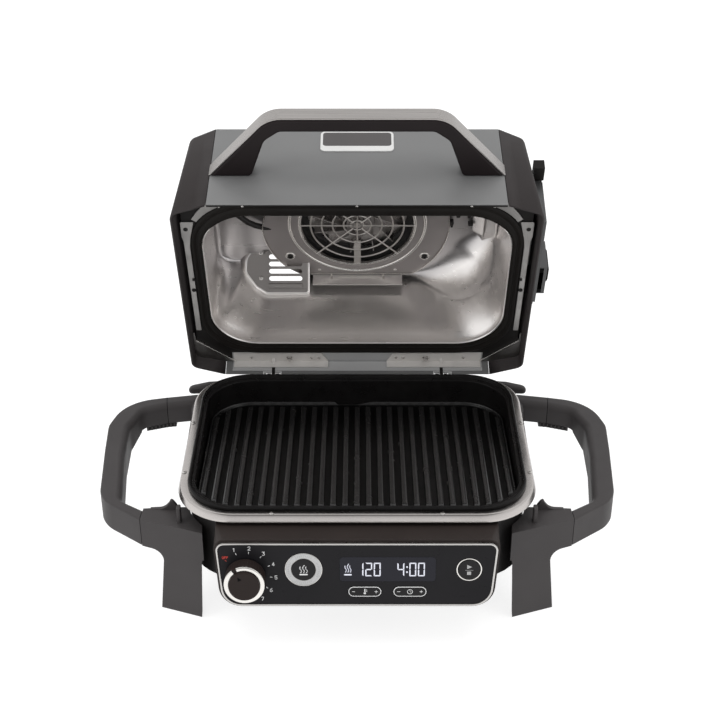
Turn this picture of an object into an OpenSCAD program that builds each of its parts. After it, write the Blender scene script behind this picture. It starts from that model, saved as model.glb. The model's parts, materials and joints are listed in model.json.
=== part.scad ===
// Countertop electric grill and smoker with a hinged lid.
// Millimetres, +Z up, front of the object towards -Y. The lid is drawn open.
// The origin is on the table, under the middle of the object's outer box.

/* [Base] */
// Outside width of the stainless rim ring
ring_w = 398; // [390:1:404]
// Outside depth of the stainless rim ring
ring_d = 293; // [290:1:296]
// Height of the top of the rim ring above the table
ring_top = 155; // [154:0.5:156]
// Corner radius of the rim ring
ring_r = 66; // [56:1:72]
// Height of the pot's lip above the rim ring
lip_h = 5; // [3:0.5:5]
// Width of the tub that holds the pot
tub_w = 374; // [370:1:376]
// Depth of the tub that holds the pot
tub_d = 271; // [268:1:272]
// Underside of the tub above the table
tub_z = 60; // [56:1:64]

/* [Grill plate] */
// Width of the ribbed plate
plate_w = 356; // [340:1:357]
// Depth of the ribbed plate
plate_d = 254; // [240:1:255]
// Fall of the plate towards the rear drain, degrees
plate_fall = 4.4; // [3:0.1:5]
// Number of ribs
rib_count = 27; // [15:2:27]
// Distance from rib to rib
rib_pitch = 13.2; // [12:0.1:13.2]
// Width of one rib
rib_w = 7; // [5:0.5:8]
// Height of one rib above the plate
rib_h = 5.5; // [4:0.5:6]

/* [Legs and handles] */
// Half of the overall width, at the side handles
half_w = 304; // [298:1:306]
// Top of the handles and legs above the table
bar_top = 122; // [118:1:124]
// Underside of the side handles above the table
bar_bot = 84; // [80:1:88]
// Thickness of the rubber feet
foot_h = 3; // [2:0.5:4]

/* [Control panel] */
// Width of the panel along its top edge
panel_w = 302; // [296:1:306]
// Height of the panel face
panel_h = 76; // [74:1:78]
// Lean of the panel face from upright, degrees
panel_lean = 9.5; // [7:0.5:11]
// Radius of the mode knob's ring
knob_r = 21.8; // [18:0.2:22]
// Height of the mode knob above the face
knob_h = 25; // [20:1:28]
// Travel of the push buttons
press = 1.2; // [0.8:0.1:1.5]

/* [Lid] */
// Opening angle of the lid as drawn, degrees (0 is shut)
lid_open = 69; // [0:1:69]
// Overall width of the lid
lid_w = 416; // [412:1:418]
// Width of the painted skin between the end caps
skin_w = 332; // [320:1:340]
// Height of the lid's lower edge above the table, lid shut
hem = 146; // [145.8:0.1:146.4]
// Sheet thickness of the painted skin
skin_t = 1.2; // [1:0.1:1.5]
// Height of the liner's ceiling above the table, lid shut
ceiling = 274; // [272:1:276]
// Radius of the fan's cover plate
fan_r = 116; // [112:1:118]

/* [Smoke box] */
// Pull-out length of the smoke box
smoke_len = 30; // [28:1:31]

/* [Hidden] */
$fn = 64;
// running clearance on a radius
run = 0.05;
// the object's outer box is centred on the origin in plan
y_shift = -48.0;
// lid hinge axis: height and depth
hy = 157.2;
hz = 135.7;
hinge_x = 106;
pin_r = 4;
// panel face: top edge
py = -175.5;
pz = 141.1;
knob_at = [-119, -38.5];
flavour_at = [-57, -31.5];
start_at = [120, -31.5];
temp_at = [8.5, -58.5];
time_at = [57, -58.5];
window = [-18.7, 84.5, -46.3, -16.5];
// front wall of the lid leans back by this angle
wall_lean = 10;
front_y = -151;
rear_y = 150;
duct_dir = [0.7465, 0.6653];

// ---- helpers ----
function unit(v) = v / norm(v);
// arc that rounds corner p between neighbours a and b
function fillet(a, p, b, r, n) =
  let (u = unit(a - p), v = unit(b - p), h = acos(u * v) / 2, c = p + unit(u + v) * r / sin(h),
       s = p + u * r / tan(h), e = p + v * r / tan(h),
       a0 = atan2(s.y - c.y, s.x - c.x), a1 = atan2(e.y - c.y, e.x - c.x),
       da = (a1 - a0 + 540) % 360 - 180)
  [for (k = [0:n]) c + r * [cos(a0 + da * k / n), sin(a0 + da * k / n)]];
function rounded(p, r, n = 6) = let (m = len(p))
  [for (i = [0:m - 1]) let (q = is_list(r) ? r[i] : r)
    each (q > 0 ? fillet(p[(i + m - 1) % m], p[i], p[(i + 1) % m], q, n) : [p[i]])];
// convex outline moved inwards by t
function inset(p, t) = let (m = len(p))
  [for (i = [0:m - 1]) let (u = unit(p[(i + m - 1) % m] - p[i]), v = unit(p[(i + 1) % m] - p[i]))
    p[i] + unit(u + v) * t / sin(acos(u * v) / 2)];
function rect(x0, x1, y0, y1) = [[x0, y0], [x1, y0], [x1, y1], [x0, y1]];
function flip(p) = [for (q = p) [-q.x, q.y]];

module frame() translate([0, y_shift, 0]) children();
module on_lid() frame() translate([0, hy, hz]) rotate([-lid_open, 0, 0]) translate([0, -hy, -hz]) children();
// panel frame: x to the right, y up the face, z out of the face
module on_panel() frame() translate([0, py, pz]) rotate([90 - panel_lean, 0, 0]) children();
// lid front wall frame: x to the right, y up the wall, z out of the wall
module on_wall() on_lid() translate([0, front_y, hem]) rotate([90 - wall_lean, 0, 0]) children();
module slab(w, d, r, z0, z1, dy = 0)
  translate([0, dy, z0]) linear_extrude(z1 - z0) polygon(rounded(rect(-w / 2, w / 2, -d / 2, d / 2), r, 9));
module plan(p, z0, z1) translate([0, 0, z0]) linear_extrude(z1 - z0) polygon(p);
// outline in (Y, Z), extruded from x0 to x1
module along_x(x0, x1) translate([x0, 0, 0]) rotate([90, 0, 90]) linear_extrude(x1 - x0) children();
// outline in (X, Z), extruded from y0 to y1
module along_y(y0, y1) translate([0, y1, 0]) rotate([90, 0, 0]) linear_extrude(y1 - y0) children();
module box(x0, x1, y0, y1, z0, z1) translate([x0, y0, z0]) cube([x1 - x0, y1 - y0, z1 - z0]);
module rod(x, y, r, z0, z1) translate([x, y, z0]) cylinder(r = r, h = z1 - z0);
module rod_x(y, z, r, x0, x1) translate([x0, y, z]) rotate([0, 90, 0]) cylinder(r = r, h = x1 - x0);
// tube or rod between two points
module link(a, b, r) let (d = b - a, l = norm(d))
  translate(a) rotate([0, acos(d.z / l), atan2(d.y, d.x)]) cylinder(r = r, h = l);
module pair() for (s = [0, 1]) mirror([s, 0, 0]) children();
module pill(w, h) union() { square([w - h, h], center = true); for (s = [-1, 1]) translate([s * (w - h) / 2, 0]) circle(d = h); }

// ---- base ----
module base_shell() color("#2b2929") frame() difference() {
  union() {
    slab(tub_w, tub_d, 60, tub_z, ring_top - 1.2);
    slab(ring_w - 5, ring_d - 5, ring_r - 2.5, ring_top - 11, ring_top - 1.2);
  }
  slab(tub_w - 6, tub_d - 6, 57, tub_z + 3, ring_top);
  // grease tray opening, wiring opening to the panel, cord gland hole
  box(-62, 62, 120, 150, 65.5, 90);
  box(-60, 60, -150, -120, 75, 115);
  translate([-140, 150, 85]) rotate([90, 0, 0]) cylinder(r = 9, h = 40);
}

module bottom_plate() color("#1f1e1e") frame() difference() {
  slab(tub_w - 16, tub_d - 16, 54, tub_z - 1.5, tub_z);
  for (x = [-120:20:120]) translate([x, -60, tub_z - 4]) linear_extrude(6) rotate(90) pill(60, 8);
}

module rim_ring() color("#c9c4c0") frame() difference() {
  slab(ring_w, ring_d, ring_r, ring_top - 9.5, ring_top);
  slab(ring_w - 2.4, ring_d - 2.4, ring_r - 1.2, ring_top - 10, ring_top - 1.2);
  slab(ring_w - 26, ring_d - 21, ring_r - 12, ring_top - 9, ring_top + 1);
}

module rim_screws() color("#8d8a87") frame() pair() {
  rod(92, -ring_d / 2 + 4.7, 2.4, ring_top, ring_top + 0.9);
  for (y = [-66, 34]) rod(ring_w / 2 - 5.3, y, 2.4, ring_top, ring_top + 0.9);
}

module inner_pot() color("#161515") frame() union() { pot_shell(); pot_posts(); }
module pot_shell() difference() {
  union() {
    slab(tub_w - 9, tub_d - 9, 55, 104, ring_top);
    slab(376, 274, 56, ring_top, ring_top + lip_h);
  }
  slab(tub_w - 14, tub_d - 14, 53, 107, ring_top + lip_h + 1);
  slab(368, 266, 53, ring_top + 1, ring_top + lip_h + 1);
  rod(0, 112, 9, 100, 110);
}
// posts that carry the grill plate, cut to its slope
module pot_posts() for (x = [-120, 120]) for (y = [-90, 90]) rod(x, y, 5, 106, 126 - (y + 5) * tan(plate_fall));

module front_leg(s) frame() scale1(s) difference() {
  union() {
    hull() {
      plan([[176, -132], [223.6, -114.7], [219, -100], [181, -112]], foot_h, foot_h + 1);
      plan([[171.5, -133.4], [215.2, -117.6], [218, -92], [178, -98]], bar_bot, bar_bot + 1);
    }
    plan([[169, -134.2], [241, -108.2], [239.5, -88.5], [205, -86], [170, -90]], bar_bot, bar_top);
  }
  slab(tub_w + 0.4, tub_d + 0.4, 60.2, 0, 200);
  slab(ring_w + 1, ring_d + 1, ring_r + 0.5, ring_top - 11.2, 200);
}
module scale1(s) mirror([s < 0 ? 1 : 0, 0, 0]) children();
module front_leg_left() color("#4a4646") front_leg(-1);
module front_leg_right() color("#4a4646") front_leg(1);

module rear_leg(s) frame() scale1(s) difference() {
  union() {
    hull() {
      plan(rect(176, 202, 112, 138), foot_h, foot_h + 1);
      plan(rect(168, 200, 108, 147), bar_bot, bar_bot + 1);
    }
    plan([[160, 100], [200, 112], [200, 151], [160, 151]], bar_bot, bar_top);
  }
  slab(tub_w + 0.4, tub_d + 0.4, 60.2, 0, 200);
}
module rear_leg_left() color("#3c3939") rear_leg(-1);
module rear_leg_right() color("#3c3939") rear_leg(1);

// loop of the side handle in plan, from the front leg round to the rear leg
loop_out = [[241.2, -108.1], [292, -69], [half_w - 3.4, 30], [half_w, 80], [290, 132], [242, 143], [200.2, 150.8]];
loop_in = [[200.2, 131], [238, 124], [266, 114], [278, 78], [276, 20], [266, -72], [239.7, -88.5]];
module side_handle(s) frame() scale1(s) difference() {
  plan(rounded(concat(loop_out, loop_in), [0, 45, 0, 40, 56, 30, 0, 0, 20, 16, 24, 0, 16, 0], 7), bar_bot, bar_top);
  // the rear arm is shallower than the grip
  along_y(96, 170) polygon([[195, bar_bot - 1], [286, bar_bot - 1], [262, bar_bot + 9], [195, bar_bot + 10]]);
}
module side_handle_left() color("#4a4646") side_handle(-1);
module side_handle_right() color("#4a4646") side_handle(1);

module rubber_feet() color("#151515") frame() pair() {
  plan([[180, -128], [221, -113], [217, -104], [184, -114]], 0, foot_h);
  plan(rect(179, 199, 115, 135), 0, foot_h);
}

module cord_hooks() color("#2a2828") frame() pair() {
  box(172, 186, 151, 166, 112, 124);
  plan(rounded([[163, 166], [196, 166], [212, 156], [215, 163], [199, 178], [163, 178]], [4, 3, 2, 3, 6, 4], 5), 112, 127);
}

module hinge_ears() color("#5b5957") frame() pair() for (x = [98, 109]) difference() {
  union() {
    along_x(x, x + 5) polygon([[tub_d / 2 + 0.1, 96], [160, 124.5], [164, 130], [157.2, 145], [tub_d / 2 + 0.1, 142]]);
    rod_x(hy, hz, 10, x, x + 5);
  }
  rod_x(hy, hz, pin_r + run, x - 1, x + 6);
}

module tray_rails() color("#6a6866") frame() pair() {
  box(61.2, 63, 20, 130, tub_z + 3, 88);
  box(56, 61.2, 20, 130, tub_z + 3, 65.6);
}

module cord_gland() color("#1a1a1a") frame() difference() {
  union() {
    translate([-140, 146, 85]) rotate([90, 0, 0]) cylinder(r = 8.9, h = 20);
    translate([-140, 151, 85]) rotate([90, 0, 0]) cylinder(r = 12, h = 15.4);
  }
  translate([-140, 155, 85]) rotate([90, 0, 0]) cylinder(r = 4.5, h = 40);
}

module power_board() color("#2f5d3a") frame() union() {
  box(-150, -78, -70, 70, 68, 69.6);
  for (x = [-140, -92]) for (y = [-60, 60]) rod(x, y, 4, tub_z + 3, 68);
  box(-142, -112, -50, -14, 69.6, 90);
  box(-104, -86, 10, 50, 69.6, 94);
  rod(-124, 24, 9, 69.6, 92);
}

// ---- control panel ----
face = [[panel_w / 2, 0], [-panel_w / 2, 0], [-panel_w / 2 + 6.5, -panel_h], [panel_w / 2 - 6.5, -panel_h]];
face_r = [9, 9, 22, 22];
module face_plate(t, z0, z1) translate([0, 0, z0]) linear_extrude(z1 - z0)
  polygon(rounded(inset(face, t), [for (r = face_r) max(r - t, 1)], 8));

module panel_housing() color("#3a3230") difference() {
  hull() {
    on_panel() face_plate(-2.6, -3.4, -3.2);
    frame() box(-153, 153, -136.2, -136, pz - 8, pz);
    frame() box(-146, 146, -136.2, -136, tub_z, pz - 8);
  }
  hull() {
    on_panel() face_plate(3, -3.4, -3);
    frame() box(-150, 150, -136.2, -135, pz - 8, pz - 3);
    frame() box(-143, 143, -136.2, -135, tub_z + 3, pz - 8);
  }
}

module panel_fascia() color("#232222") on_panel() difference() {
  face_plate(2.2, -3, 0);
  translate([knob_at.x, knob_at.y, -5]) cylinder(r = 8, h = 8);
  translate([flavour_at.x, flavour_at.y, -5]) cylinder(r = 13.4, h = 8);
  translate([start_at.x, start_at.y, -5]) cylinder(r = 12.4, h = 8);
  box(window[0], window[1], window[2], window[3], -5, 3);
  for (p = [temp_at, time_at]) translate([p.x, p.y, -5]) linear_extrude(8) pill(36.8, 13.4);
}

module panel_frame() color("#b9b6b3") on_panel() difference() {
  face_plate(0, -3.2, 0.8);
  face_plate(2.1, -4, 2);
}

module display_lens() color("#5b6470") on_panel() box(window[0] + 0.1, window[1] - 0.1, window[2] + 0.1, window[3] - 0.1, -3, 0.2);

module control_board() color("#2f5d3a") on_panel() union() {
  box(-100, 136, -68, -10, -17, -15.4);
  box(window[0], window[1], window[2], window[3], -15.4, -3.2);
  for (p = [flavour_at, start_at]) translate([p.x - 3, p.y - 3, -15.4]) cube([6, 6, 3]);
  for (p = [temp_at, time_at]) for (s = [-12, 12]) translate([p.x + s - 3, p.y - 3, -15.4]) cube([6, 6, 3]);
  // posts that carry the fulcrum of each rocker
  for (p = [temp_at, time_at]) translate([p.x - 1.5, p.y - 4, -15.4]) cube([3, 8, 11.6]);
}

module encoder() color("#9a9896") on_panel() difference() {
  union() {
    translate([knob_at.x - 8, knob_at.y - 8, -17]) cube([16, 16, 11]);
    translate([knob_at.x, knob_at.y, -6]) cylinder(r = 6, h = 8);
  }
  translate([knob_at.x, knob_at.y, -16]) cylinder(r = 3 + run, h = 20);
}

module button_rings() color("#d6d4d0") on_panel() {
  translate([flavour_at.x, flavour_at.y, 0]) difference() { cylinder(r = 19.4, h = 0.8); translate([0, 0, -1]) cylinder(r = 13.4, h = 3); }
  translate([start_at.x, start_at.y, 0]) difference() { cylinder(r = 13.6, h = 0.6); translate([0, 0, -1]) cylinder(r = 12.4, h = 3); }
}

module knob() color("#1d1c1c") on_panel() translate([knob_at.x, knob_at.y, 0]) difference() {
  union() {
    translate([0, 0, 3]) cylinder(r = knob_r, h = knob_h - 8.6);
    translate([0, 0, knob_h - 5.6]) cylinder(r = 16.8, h = 5.6);
  }
  translate([0, 0, 2]) cylinder(r = 6.6, h = 2);
  translate([0, 0, 2]) cylinder(r = 3, h = knob_h - 8);
}

module knob_ring() color("#d2d0cd") on_panel() translate([knob_at.x, knob_at.y, 0]) difference() {
  translate([0, 0, knob_h - 5.6]) cylinder(r = knob_r, h = 2.6);
  translate([0, 0, 6]) cylinder(r = 16.8, h = knob_h);
}

module knob_shaft() color("#8b8987") on_panel() translate([knob_at.x, knob_at.y, -15]) cylinder(r = 3, h = knob_h + 9);

module button(at, r) on_panel() translate([at.x, at.y, 0]) union() {
  translate([0, 0, -2.5]) cylinder(r = r, h = 3.7);
  translate([0, 0, -12.4 + press + 0.3]) cylinder(r = 2.5, h = 10 - press);
}
module flavour_button() color("#2a2928") button(flavour_at, 13);
module start_button() color("#232222") button(start_at, 12);

// the round rib under the key is its fulcrum
module rocker(at) on_panel() translate([at.x, at.y, -2.5]) union() {
  linear_extrude(3.1) pill(35.6, 12.2);
  translate([0, -5, 0]) rotate([-90, 0, 0]) cylinder(r = 1, h = 10);
}
module temp_rocker() color("#2a2928") rocker(temp_at);
module time_rocker() color("#2a2928") rocker(time_at);

// ---- parts that lift or slide out of the base ----
function rib_half(x) = let (c = plate_w / 2 - 50, e = plate_d / 2 - 50)
  (abs(x) <= c ? plate_d / 2 : e + sqrt(2500 - pow(abs(x) - c, 2))) - 11;
module grill_plate() color("#1b1a1a") frame() translate([0, 0, 131]) rotate([-plate_fall, 0, 0]) difference() {
  union() {
    slab(plate_w, plate_d, 50, -4, 0);
    difference() {
      slab(plate_w, plate_d, 50, -1, 5);
      slab(plate_w - 6, plate_d - 6, 47, -2, 6);
    }
    for (i = [-(rib_count - 1) / 2:(rib_count - 1) / 2]) let (x = i * rib_pitch, h = rib_half(x))
      translate([x, 0, -1]) linear_extrude(rib_h + 1) polygon(rounded(rect(-rib_w / 2, rib_w / 2, -h, h), 3.2, 4));
  }
  // grease drain at the rear
  box(-16, 16, plate_d / 2 - 10, plate_d / 2 - 4, -6, 3);
}

module grease_tray() color("#3a3938") frame() difference() {
  union() {
    box(-60, 60, 30, 141, 66, 86);
    box(-66, 66, 137, 141, 64, 91);
    box(-34, 34, 141, 158, 78, 84);
  }
  box(-58, 58, 32, 136, 68, 87);
}

// ---- lid ----
// side outline of the lid (Y, Z); low is the height where the walls end
function wall_y(z) = front_y + (z - hem) * tan(wall_lean);
function outline(low) = [[wall_y(low), low], [wall_y(296.5), 296.5], [-72, 326], [-24, 334], [52, 334], [146, 254],
  [rear_y + 0.6, 232], [rear_y, low - 4]];
function cap_outline(low) = [[-136 + (low - hem) * 0.1095, low], [-121, 283], [-70, 310], [-22, 317], [46, 317], [130, 243],
  [139.6, 222], [140, low]];
outline_r = [0, 10, 40, 60, 30, 22, 20, 0];
// the outer face of an end cap leans inwards by this angle
cap_draft = 4.6;
module drafted() translate([lid_w / 2, 0, hem]) rotate([0, -cap_draft, 0]) translate([-lid_w / 2, 0, -hem]) children();

// sheared box from the vent's mouth along the duct to beyond the rear slope
mouth_a = [61.5, 269.2];
mouth_b = [96, 235.2];
louvre_tilt = atan2(mouth_a.y - mouth_b.y, mouth_b.x - mouth_a.x);
module duct_space(t, k0, k1) let (u = unit(mouth_a - mouth_b), a = mouth_a + u * t, b = mouth_b - u * t)
  along_x(-119 - t + 3, -66 + t) polygon([a + duct_dir * k0, b + duct_dir * k0, b + duct_dir * k1, a + duct_dir * (k1 + 17)]);

module lid_skin() color("#808281") on_lid() difference() {
  along_x(-skin_w / 2, skin_w / 2) polygon(rounded(outline(hem), outline_r, 8));
  along_x(-skin_w / 2 - 1, skin_w / 2 + 1) polygon(rounded(inset(outline(hem - 20), skin_t), [for (r = outline_r) max(r - skin_t, 0)], 8));
  duct_space(1.6, 10, 90);
  // notches for the hinge arms
  pair() box(hinge_x - 4, hinge_x + 4, rear_y - 4, rear_y + 4, hem - 1, hem + 20);
  pair() box(hinge_x - 10, hinge_x + 12.5, rear_y - 4, rear_y + 4, hem - 6, hem + 1.5);
}

module cap_solid() hull() {
  along_x(skin_w / 2 + 0.1, skin_w / 2 + 0.3) polygon(outline(hem));
  drafted() along_x(lid_w / 2 - 0.2, lid_w / 2) polygon(cap_outline(hem));
}
module end_cap(s) scale1(s) difference() {
  cap_solid();
  hull() {
    along_x(skin_w / 2 - 1, skin_w / 2 + 0.4) polygon(inset(outline(hem - 20), 3));
    drafted() along_x(lid_w / 2 - 3.2, lid_w / 2 - 3) polygon(inset(cap_outline(hem - 20), 3));
  }
}
module end_cap_left() color("#453f3f") on_lid() end_cap(-1);
module end_cap_right() color("#453f3f") on_lid() difference() {
  end_cap(1);
  box(190, 220, -84.5, -15.5, 177.5, 234.5);
}

frame_z = 163;
module lid_frame() color("#2c2a29") on_lid() {
  lid_frame_plate();
  // strip inside the front hem
  box(-skin_w / 2 + 0.2, skin_w / 2 - 0.2, -149.5, -146.9, hem + 0.2, hem + 1.4);
}
module lid_frame_plate() difference() {
  plan([[-160, -145.5], [160, -145.5], [198.5, -130.5], [200, 132], [160, 144.5], [-160, 144.5], [-200, 132], [-198.5, -130.5]], frame_z, frame_z + 1.4);
  slab(362, 237, 59, frame_z - 1, frame_z + 3, -3.5);
  pair() box(hinge_x - 4, hinge_x + 4, 140, 150, frame_z - 1, frame_z + 3);
}

module lid_seal() color("#1e1a16") on_lid() difference() {
  slab(383, 269, 68, frame_z - 2.4, frame_z, -3.5);
  slab(358, 233, 57, frame_z - 4, frame_z + 1, -3.5);
}

module liner_space(t) hull() {
  slab(361 - 2 * t, 236 - 2 * t, 58.5 - t, frame_z, frame_z + 0.2, -3.5);
  slab(352 - 2 * t, 228 - 2 * t, 56 - t, 236, 236.2, -3.5);
  slab(330 - 2 * t, 206 - 2 * t, 46 - t, ceiling - t - 0.2, ceiling - t, -3.5);
}
element_r = 81;
// the two ends of the heating element run out to the left through the liner
module element_leads(r) {
  link([element_r * cos(215), element_r * sin(215), 267], [-178, -100, 262.4], r);
  link([element_r * cos(195), element_r * sin(195), 267], [-178, -78, 262.4], r);
}
module lid_liner() color("#a09a96") on_lid() difference() {
  liner_space(0);
  liner_space(1.2);
  rod(0, 0, 74, ceiling - 6, ceiling + 4);
  duct_space(1.6, -12, 90);
  for (y = [-66, -50, -34]) box(170, 190, y - 2, y + 2, sb_z0 + 12, sb_z1 - 12);
  // element leads
  element_leads(4.4);
}

module liner_brackets() color("#aaa6a2") on_lid() {
  pair() plan(rounded([[192.6, -98], [202.4, -98], [202.4, -62], [201.5, 84], [195, 84], [194, -62]], 1.5, 3), frame_z - 1.2, frame_z);
  pair() plan([[150, -144], [160, -144.5], [196, -128], [194.5, -112], [174, -132]], frame_z - 1.2, frame_z);
  pair() plan([[199.5, 106], [199, 131], [160, 144], [159, 141]], frame_z - 1.2, frame_z);
}

module lid_screws() color("#d0cecb") on_lid() {
  for (x = [-126, 0, 126]) rod(x, -148.2, 1.4, hem - 1, hem + 0.2);
  pair() for (y = [-84, 10]) rod(198, y, 2.4, frame_z - 2.4, frame_z - 1.2);
  pair() for (x = [49, 58, 134]) rod(x, 140.4, 2.2, frame_z - 2.4, frame_z - 1.6);
  pair() rod(86, 141.4, 3.6, frame_z - 4.4, frame_z - 1.6);
}

module hinge_brackets() color("#b5b1ad") on_lid() pair() difference() {
  union() {
    plan([[45, 132], [156, 132], [156, 148.4], [37, 148.4]], frame_z - 1.6, frame_z);
    box(37, 156, 147.2, 148.4, frame_z - 11, frame_z - 1.6);
    along_x(hinge_x - 2, hinge_x + 2) polygon([[142, frame_z - 1.6], [148.4, frame_z - 6], [148.4, hz + 2], [hy, hz - 9], [hy + 9, hz], [hy + 8.6, hz + 12], [153, frame_z + 1], [142, frame_z]]);
    rod_x(hy, hz, 9, hinge_x - 2, hinge_x + 2);
  }
  rod_x(hy, hz, pin_r, hinge_x - 3, hinge_x + 3);
}

module hinge_pins() color("#8b8987") on_lid() pair() union() {
  rod_x(hy, hz, pin_r, 96.5, 115.5);
  rod_x(hy, hz, 6.5, 115, 117.5);
}

// handle outline: x across the lid, y out of the wall
bar_pts = [[165, 0], [98, 73], [-98, 73], [-165, 0]];
module lid_handle() color("#2d2628") on_wall() translate([0, 77.5, 0]) rotate([90, 0, 0]) linear_extrude(23.5)
  polygon(rounded([[165, 0], [98, 73], [-98, 73], [-165, 0], [-119, 0], [-103, 46], [-86, 58], [86, 58], [103, 46], [119, 0]],
    [0, 34, 34, 0, 6, 16, 12, 12, 16, 6], 8));

module handle_strap() color("#b0a8a2") on_wall() translate([0, 76.3, 0]) rotate([90, 0, 0]) linear_extrude(21) difference() {
  polygon(rounded(inset(bar_pts, -2), [0, 36, 36, 0], 10));
  polygon(rounded([[165, 0], [98, 73], [-98, 73], [-165, 0], [-165, -9], [165, -9]], [0, 34, 34, 0, 0, 0], 8));
  translate([-200, -10]) square([400, 10.4]);
}

module badge_plate() color("#cfccc8") on_wall() translate([0, 124, 0.03]) linear_extrude(1.4) polygon(rounded(rect(-42.5, 42.5, -20.5, 20.5), 6, 5));

// ---- fan, heater and vent in the lid ----
plate_z = 260;
module fan_plate() color("#8f8884") on_lid() union() {
  difference() {
    intersection() {
      rod(0, 0, fan_r, plate_z, plate_z + 1.4);
      box(-140, 140, -92, 90, plate_z - 5, plate_z + 5);
    }
    rod(0, 0, 68, plate_z - 1, plate_z + 3);
    duct_space(5, -2.6, 20);
    pair() for (y = [-57, 57]) rod(84.5, y, 3, plate_z - 1, plate_z + 3);
  }
  // raised ring round the opening
  difference() { rod(0, 0, 83, plate_z - 2.5, plate_z); rod(0, 0, 80, plate_z - 3, plate_z + 1); }
}

module fan_guard() color("#8a8683") on_lid() union() {
  for (r = [18, 31, 44, 57, 71]) difference() { rod(0, 0, r, plate_z - 3, plate_z - 0.2); rod(0, 0, r - 2.6, plate_z - 4, plate_z + 1); }
  for (a = [0:45:315]) rotate(a) box(5, 70, -1.4, 1.4, plate_z - 3, plate_z - 0.2);
  rod(0, 0, 7, plate_z - 3, plate_z - 0.2);
}

module fan_shroud() color("#8f8884") on_lid() difference() {
  union() {
    rod(0, 0, 73.4, ceiling - 1, 287);
    rod(0, 0, 80, ceiling, ceiling + 1.2);
  }
  rod(0, 0, 72.2, ceiling - 2, 285.8);
  rod(0, 0, 7, 280, 290);
}

module fan_motor() color("#55524f") on_lid() difference() {
  union() {
    rod(0, 0, 33, 287, 320);
    for (a = [45:90:315]) rotate(a) box(30, 44, -6, 6, 287, 290);
  }
  rod(0, 0, pin_r + run, 286, 312);
}

module fan_impeller() color("#3b3937") on_lid() difference() {
  union() {
    rod(0, 0, 62, 280, 281.5);
    rod(0, 0, 13, 263, 281.5);
    for (a = [0:30:330]) rotate(a) translate([36, 0, 0]) rotate(24) box(-18, 22, -0.8, 0.8, 264, 281.5);
  }
  rod(0, 0, pin_r, 262, 283);
}

module fan_shaft() color("#8b8987") on_lid() rod(0, 0, pin_r, 263, 311);

module heating_element() color("#1b1919") on_lid() union() {
  translate([0, 0, 267]) rotate_extrude(angle = 340, start = 215) translate([element_r, 0]) circle(r = 3.4, $fn = 32);
  element_leads(3.4);
}

module air_deflector() color("#9a9490") on_lid() union() {
  box(-57, 57, 90.1, 91.4, plate_z - 20, plate_z + 1.4);
  box(-57, 57, 76, 91.4, plate_z + 1.4, plate_z + 2.6);
}

module vent_louvre() color("#99948f") on_lid() translate([0, mouth_a.x, mouth_a.y]) rotate([-louvre_tilt, 0, 0]) difference() {
  box(-124, -62, -4, 53, -1.6, -0.4);
  for (i = [0:4]) translate([-91, 5.6 + i * 9.2, -3]) linear_extrude(5) pill(42, 5.6);
}

module exhaust_duct() color("#8f8b87") on_lid() difference() {
  duct_space(1.2, 0.2, 30);
  duct_space(0, -2, 60);
}

// ---- smoke box on the right of the lid ----
sb_y0 = -84;
sb_y1 = -16;
sb_z0 = 178;
sb_z1 = 234;
flap_x = 207.5;
flap_z = sb_z1 + 14.2;
module flap_rod(r, y0, y1) translate([flap_x, y0, flap_z]) rotate([-90, 0, 0]) cylinder(r = r, h = y1 - y0);
module smoke_housing() color("#8c8f8e") on_lid() difference() {
  union() {
    box(181, 209, sb_y0, sb_y1, sb_z0, sb_z1);
    // collar outside the end cap
    difference() { box(190, 213, sb_y0 - 14, sb_y1 + 62, sb_z0 - 8, sb_z1 + 12); cap_solid(); }
    // lugs of the flap's pin
    for (y = [sb_y0 - 14, sb_y1 + 3]) {
      flap_rod(3.5, y, y + 3.5);
      box(flap_x - 3.5, flap_x + 3.5, y, y + 3.5, sb_z1 + 11, flap_z);
    }
  }
  box(182.5, 230, sb_y0 + 1.5, sb_y1 - 1.5, sb_z0 + 1.5, sb_z1 - 1.5);
  // draught slots into the cooking space
  for (y = [-66, -50, -34]) box(180, 184, y - 2, y + 2, sb_z0 + 12, sb_z1 - 12);
  // filler opening and bores of the lugs
  box(203, 211, sb_y0 + 6, sb_y1 - 6, sb_z1 - 5, sb_z1 + 14);
  flap_rod(1.5 + run, sb_y0 - 15, sb_y1 + 8);
}

module smoke_igniter() color("#6f6c69") on_lid() union() {
  translate([198, -50, sb_z0 + 1.5]) cylinder(r = 5, h = 4);
  translate([198, -50, sb_z0 + 5.5]) cylinder(r = 3, h = 5);
}

module smoke_box() color("#3b3a39") on_lid() difference() {
  union() {
    box(214 - smoke_len, 214, sb_y0 + 3, sb_y1 - 3, sb_z0 + 14, sb_z1 - 8);
    box(213.4, 216, sb_y0 - 12, sb_y1 + 60, sb_z0 - 6, sb_z1 + 2);
    // pull
    box(216, 227.5, -6, 42, sb_z0 + 6, sb_z1 - 8);
  }
  box(215.5 - smoke_len, 211.5, sb_y0 + 4.5, sb_y1 - 4.5, sb_z0 + 15.5, sb_z1);
  // finger recess of the pull, draught holes of the basket
  box(215.9, 223.5, 4, 34, sb_z0 + 5, sb_z1 - 16);
  for (y = [-72:8:-28]) box(183, 190, y - 1.5, y + 1.5, sb_z0 + 20, sb_z1 - 14);
}

module smoke_flap() color("#1d1c1c") on_lid() union() {
  flap_rod(1.5, sb_y0 - 14, sb_y1 + 6.5);
  flap_rod(1.8, sb_y0 - 10, sb_y1 + 2.5);
  box(flap_x, 217, sb_y0 - 10, sb_y1 + 2.5, flap_z - 1.8, flap_z + 1.8);
  // thumb tab, carried past the front lug
  box(flap_x + 4.1, 217, sb_y0 - 34, sb_y0 - 9, flap_z - 1.8, flap_z + 1.8);
  box(flap_x - 3, 217, sb_y0 - 34, sb_y0 - 14.5, flap_z - 12, flap_z + 1.8);
}

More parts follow.
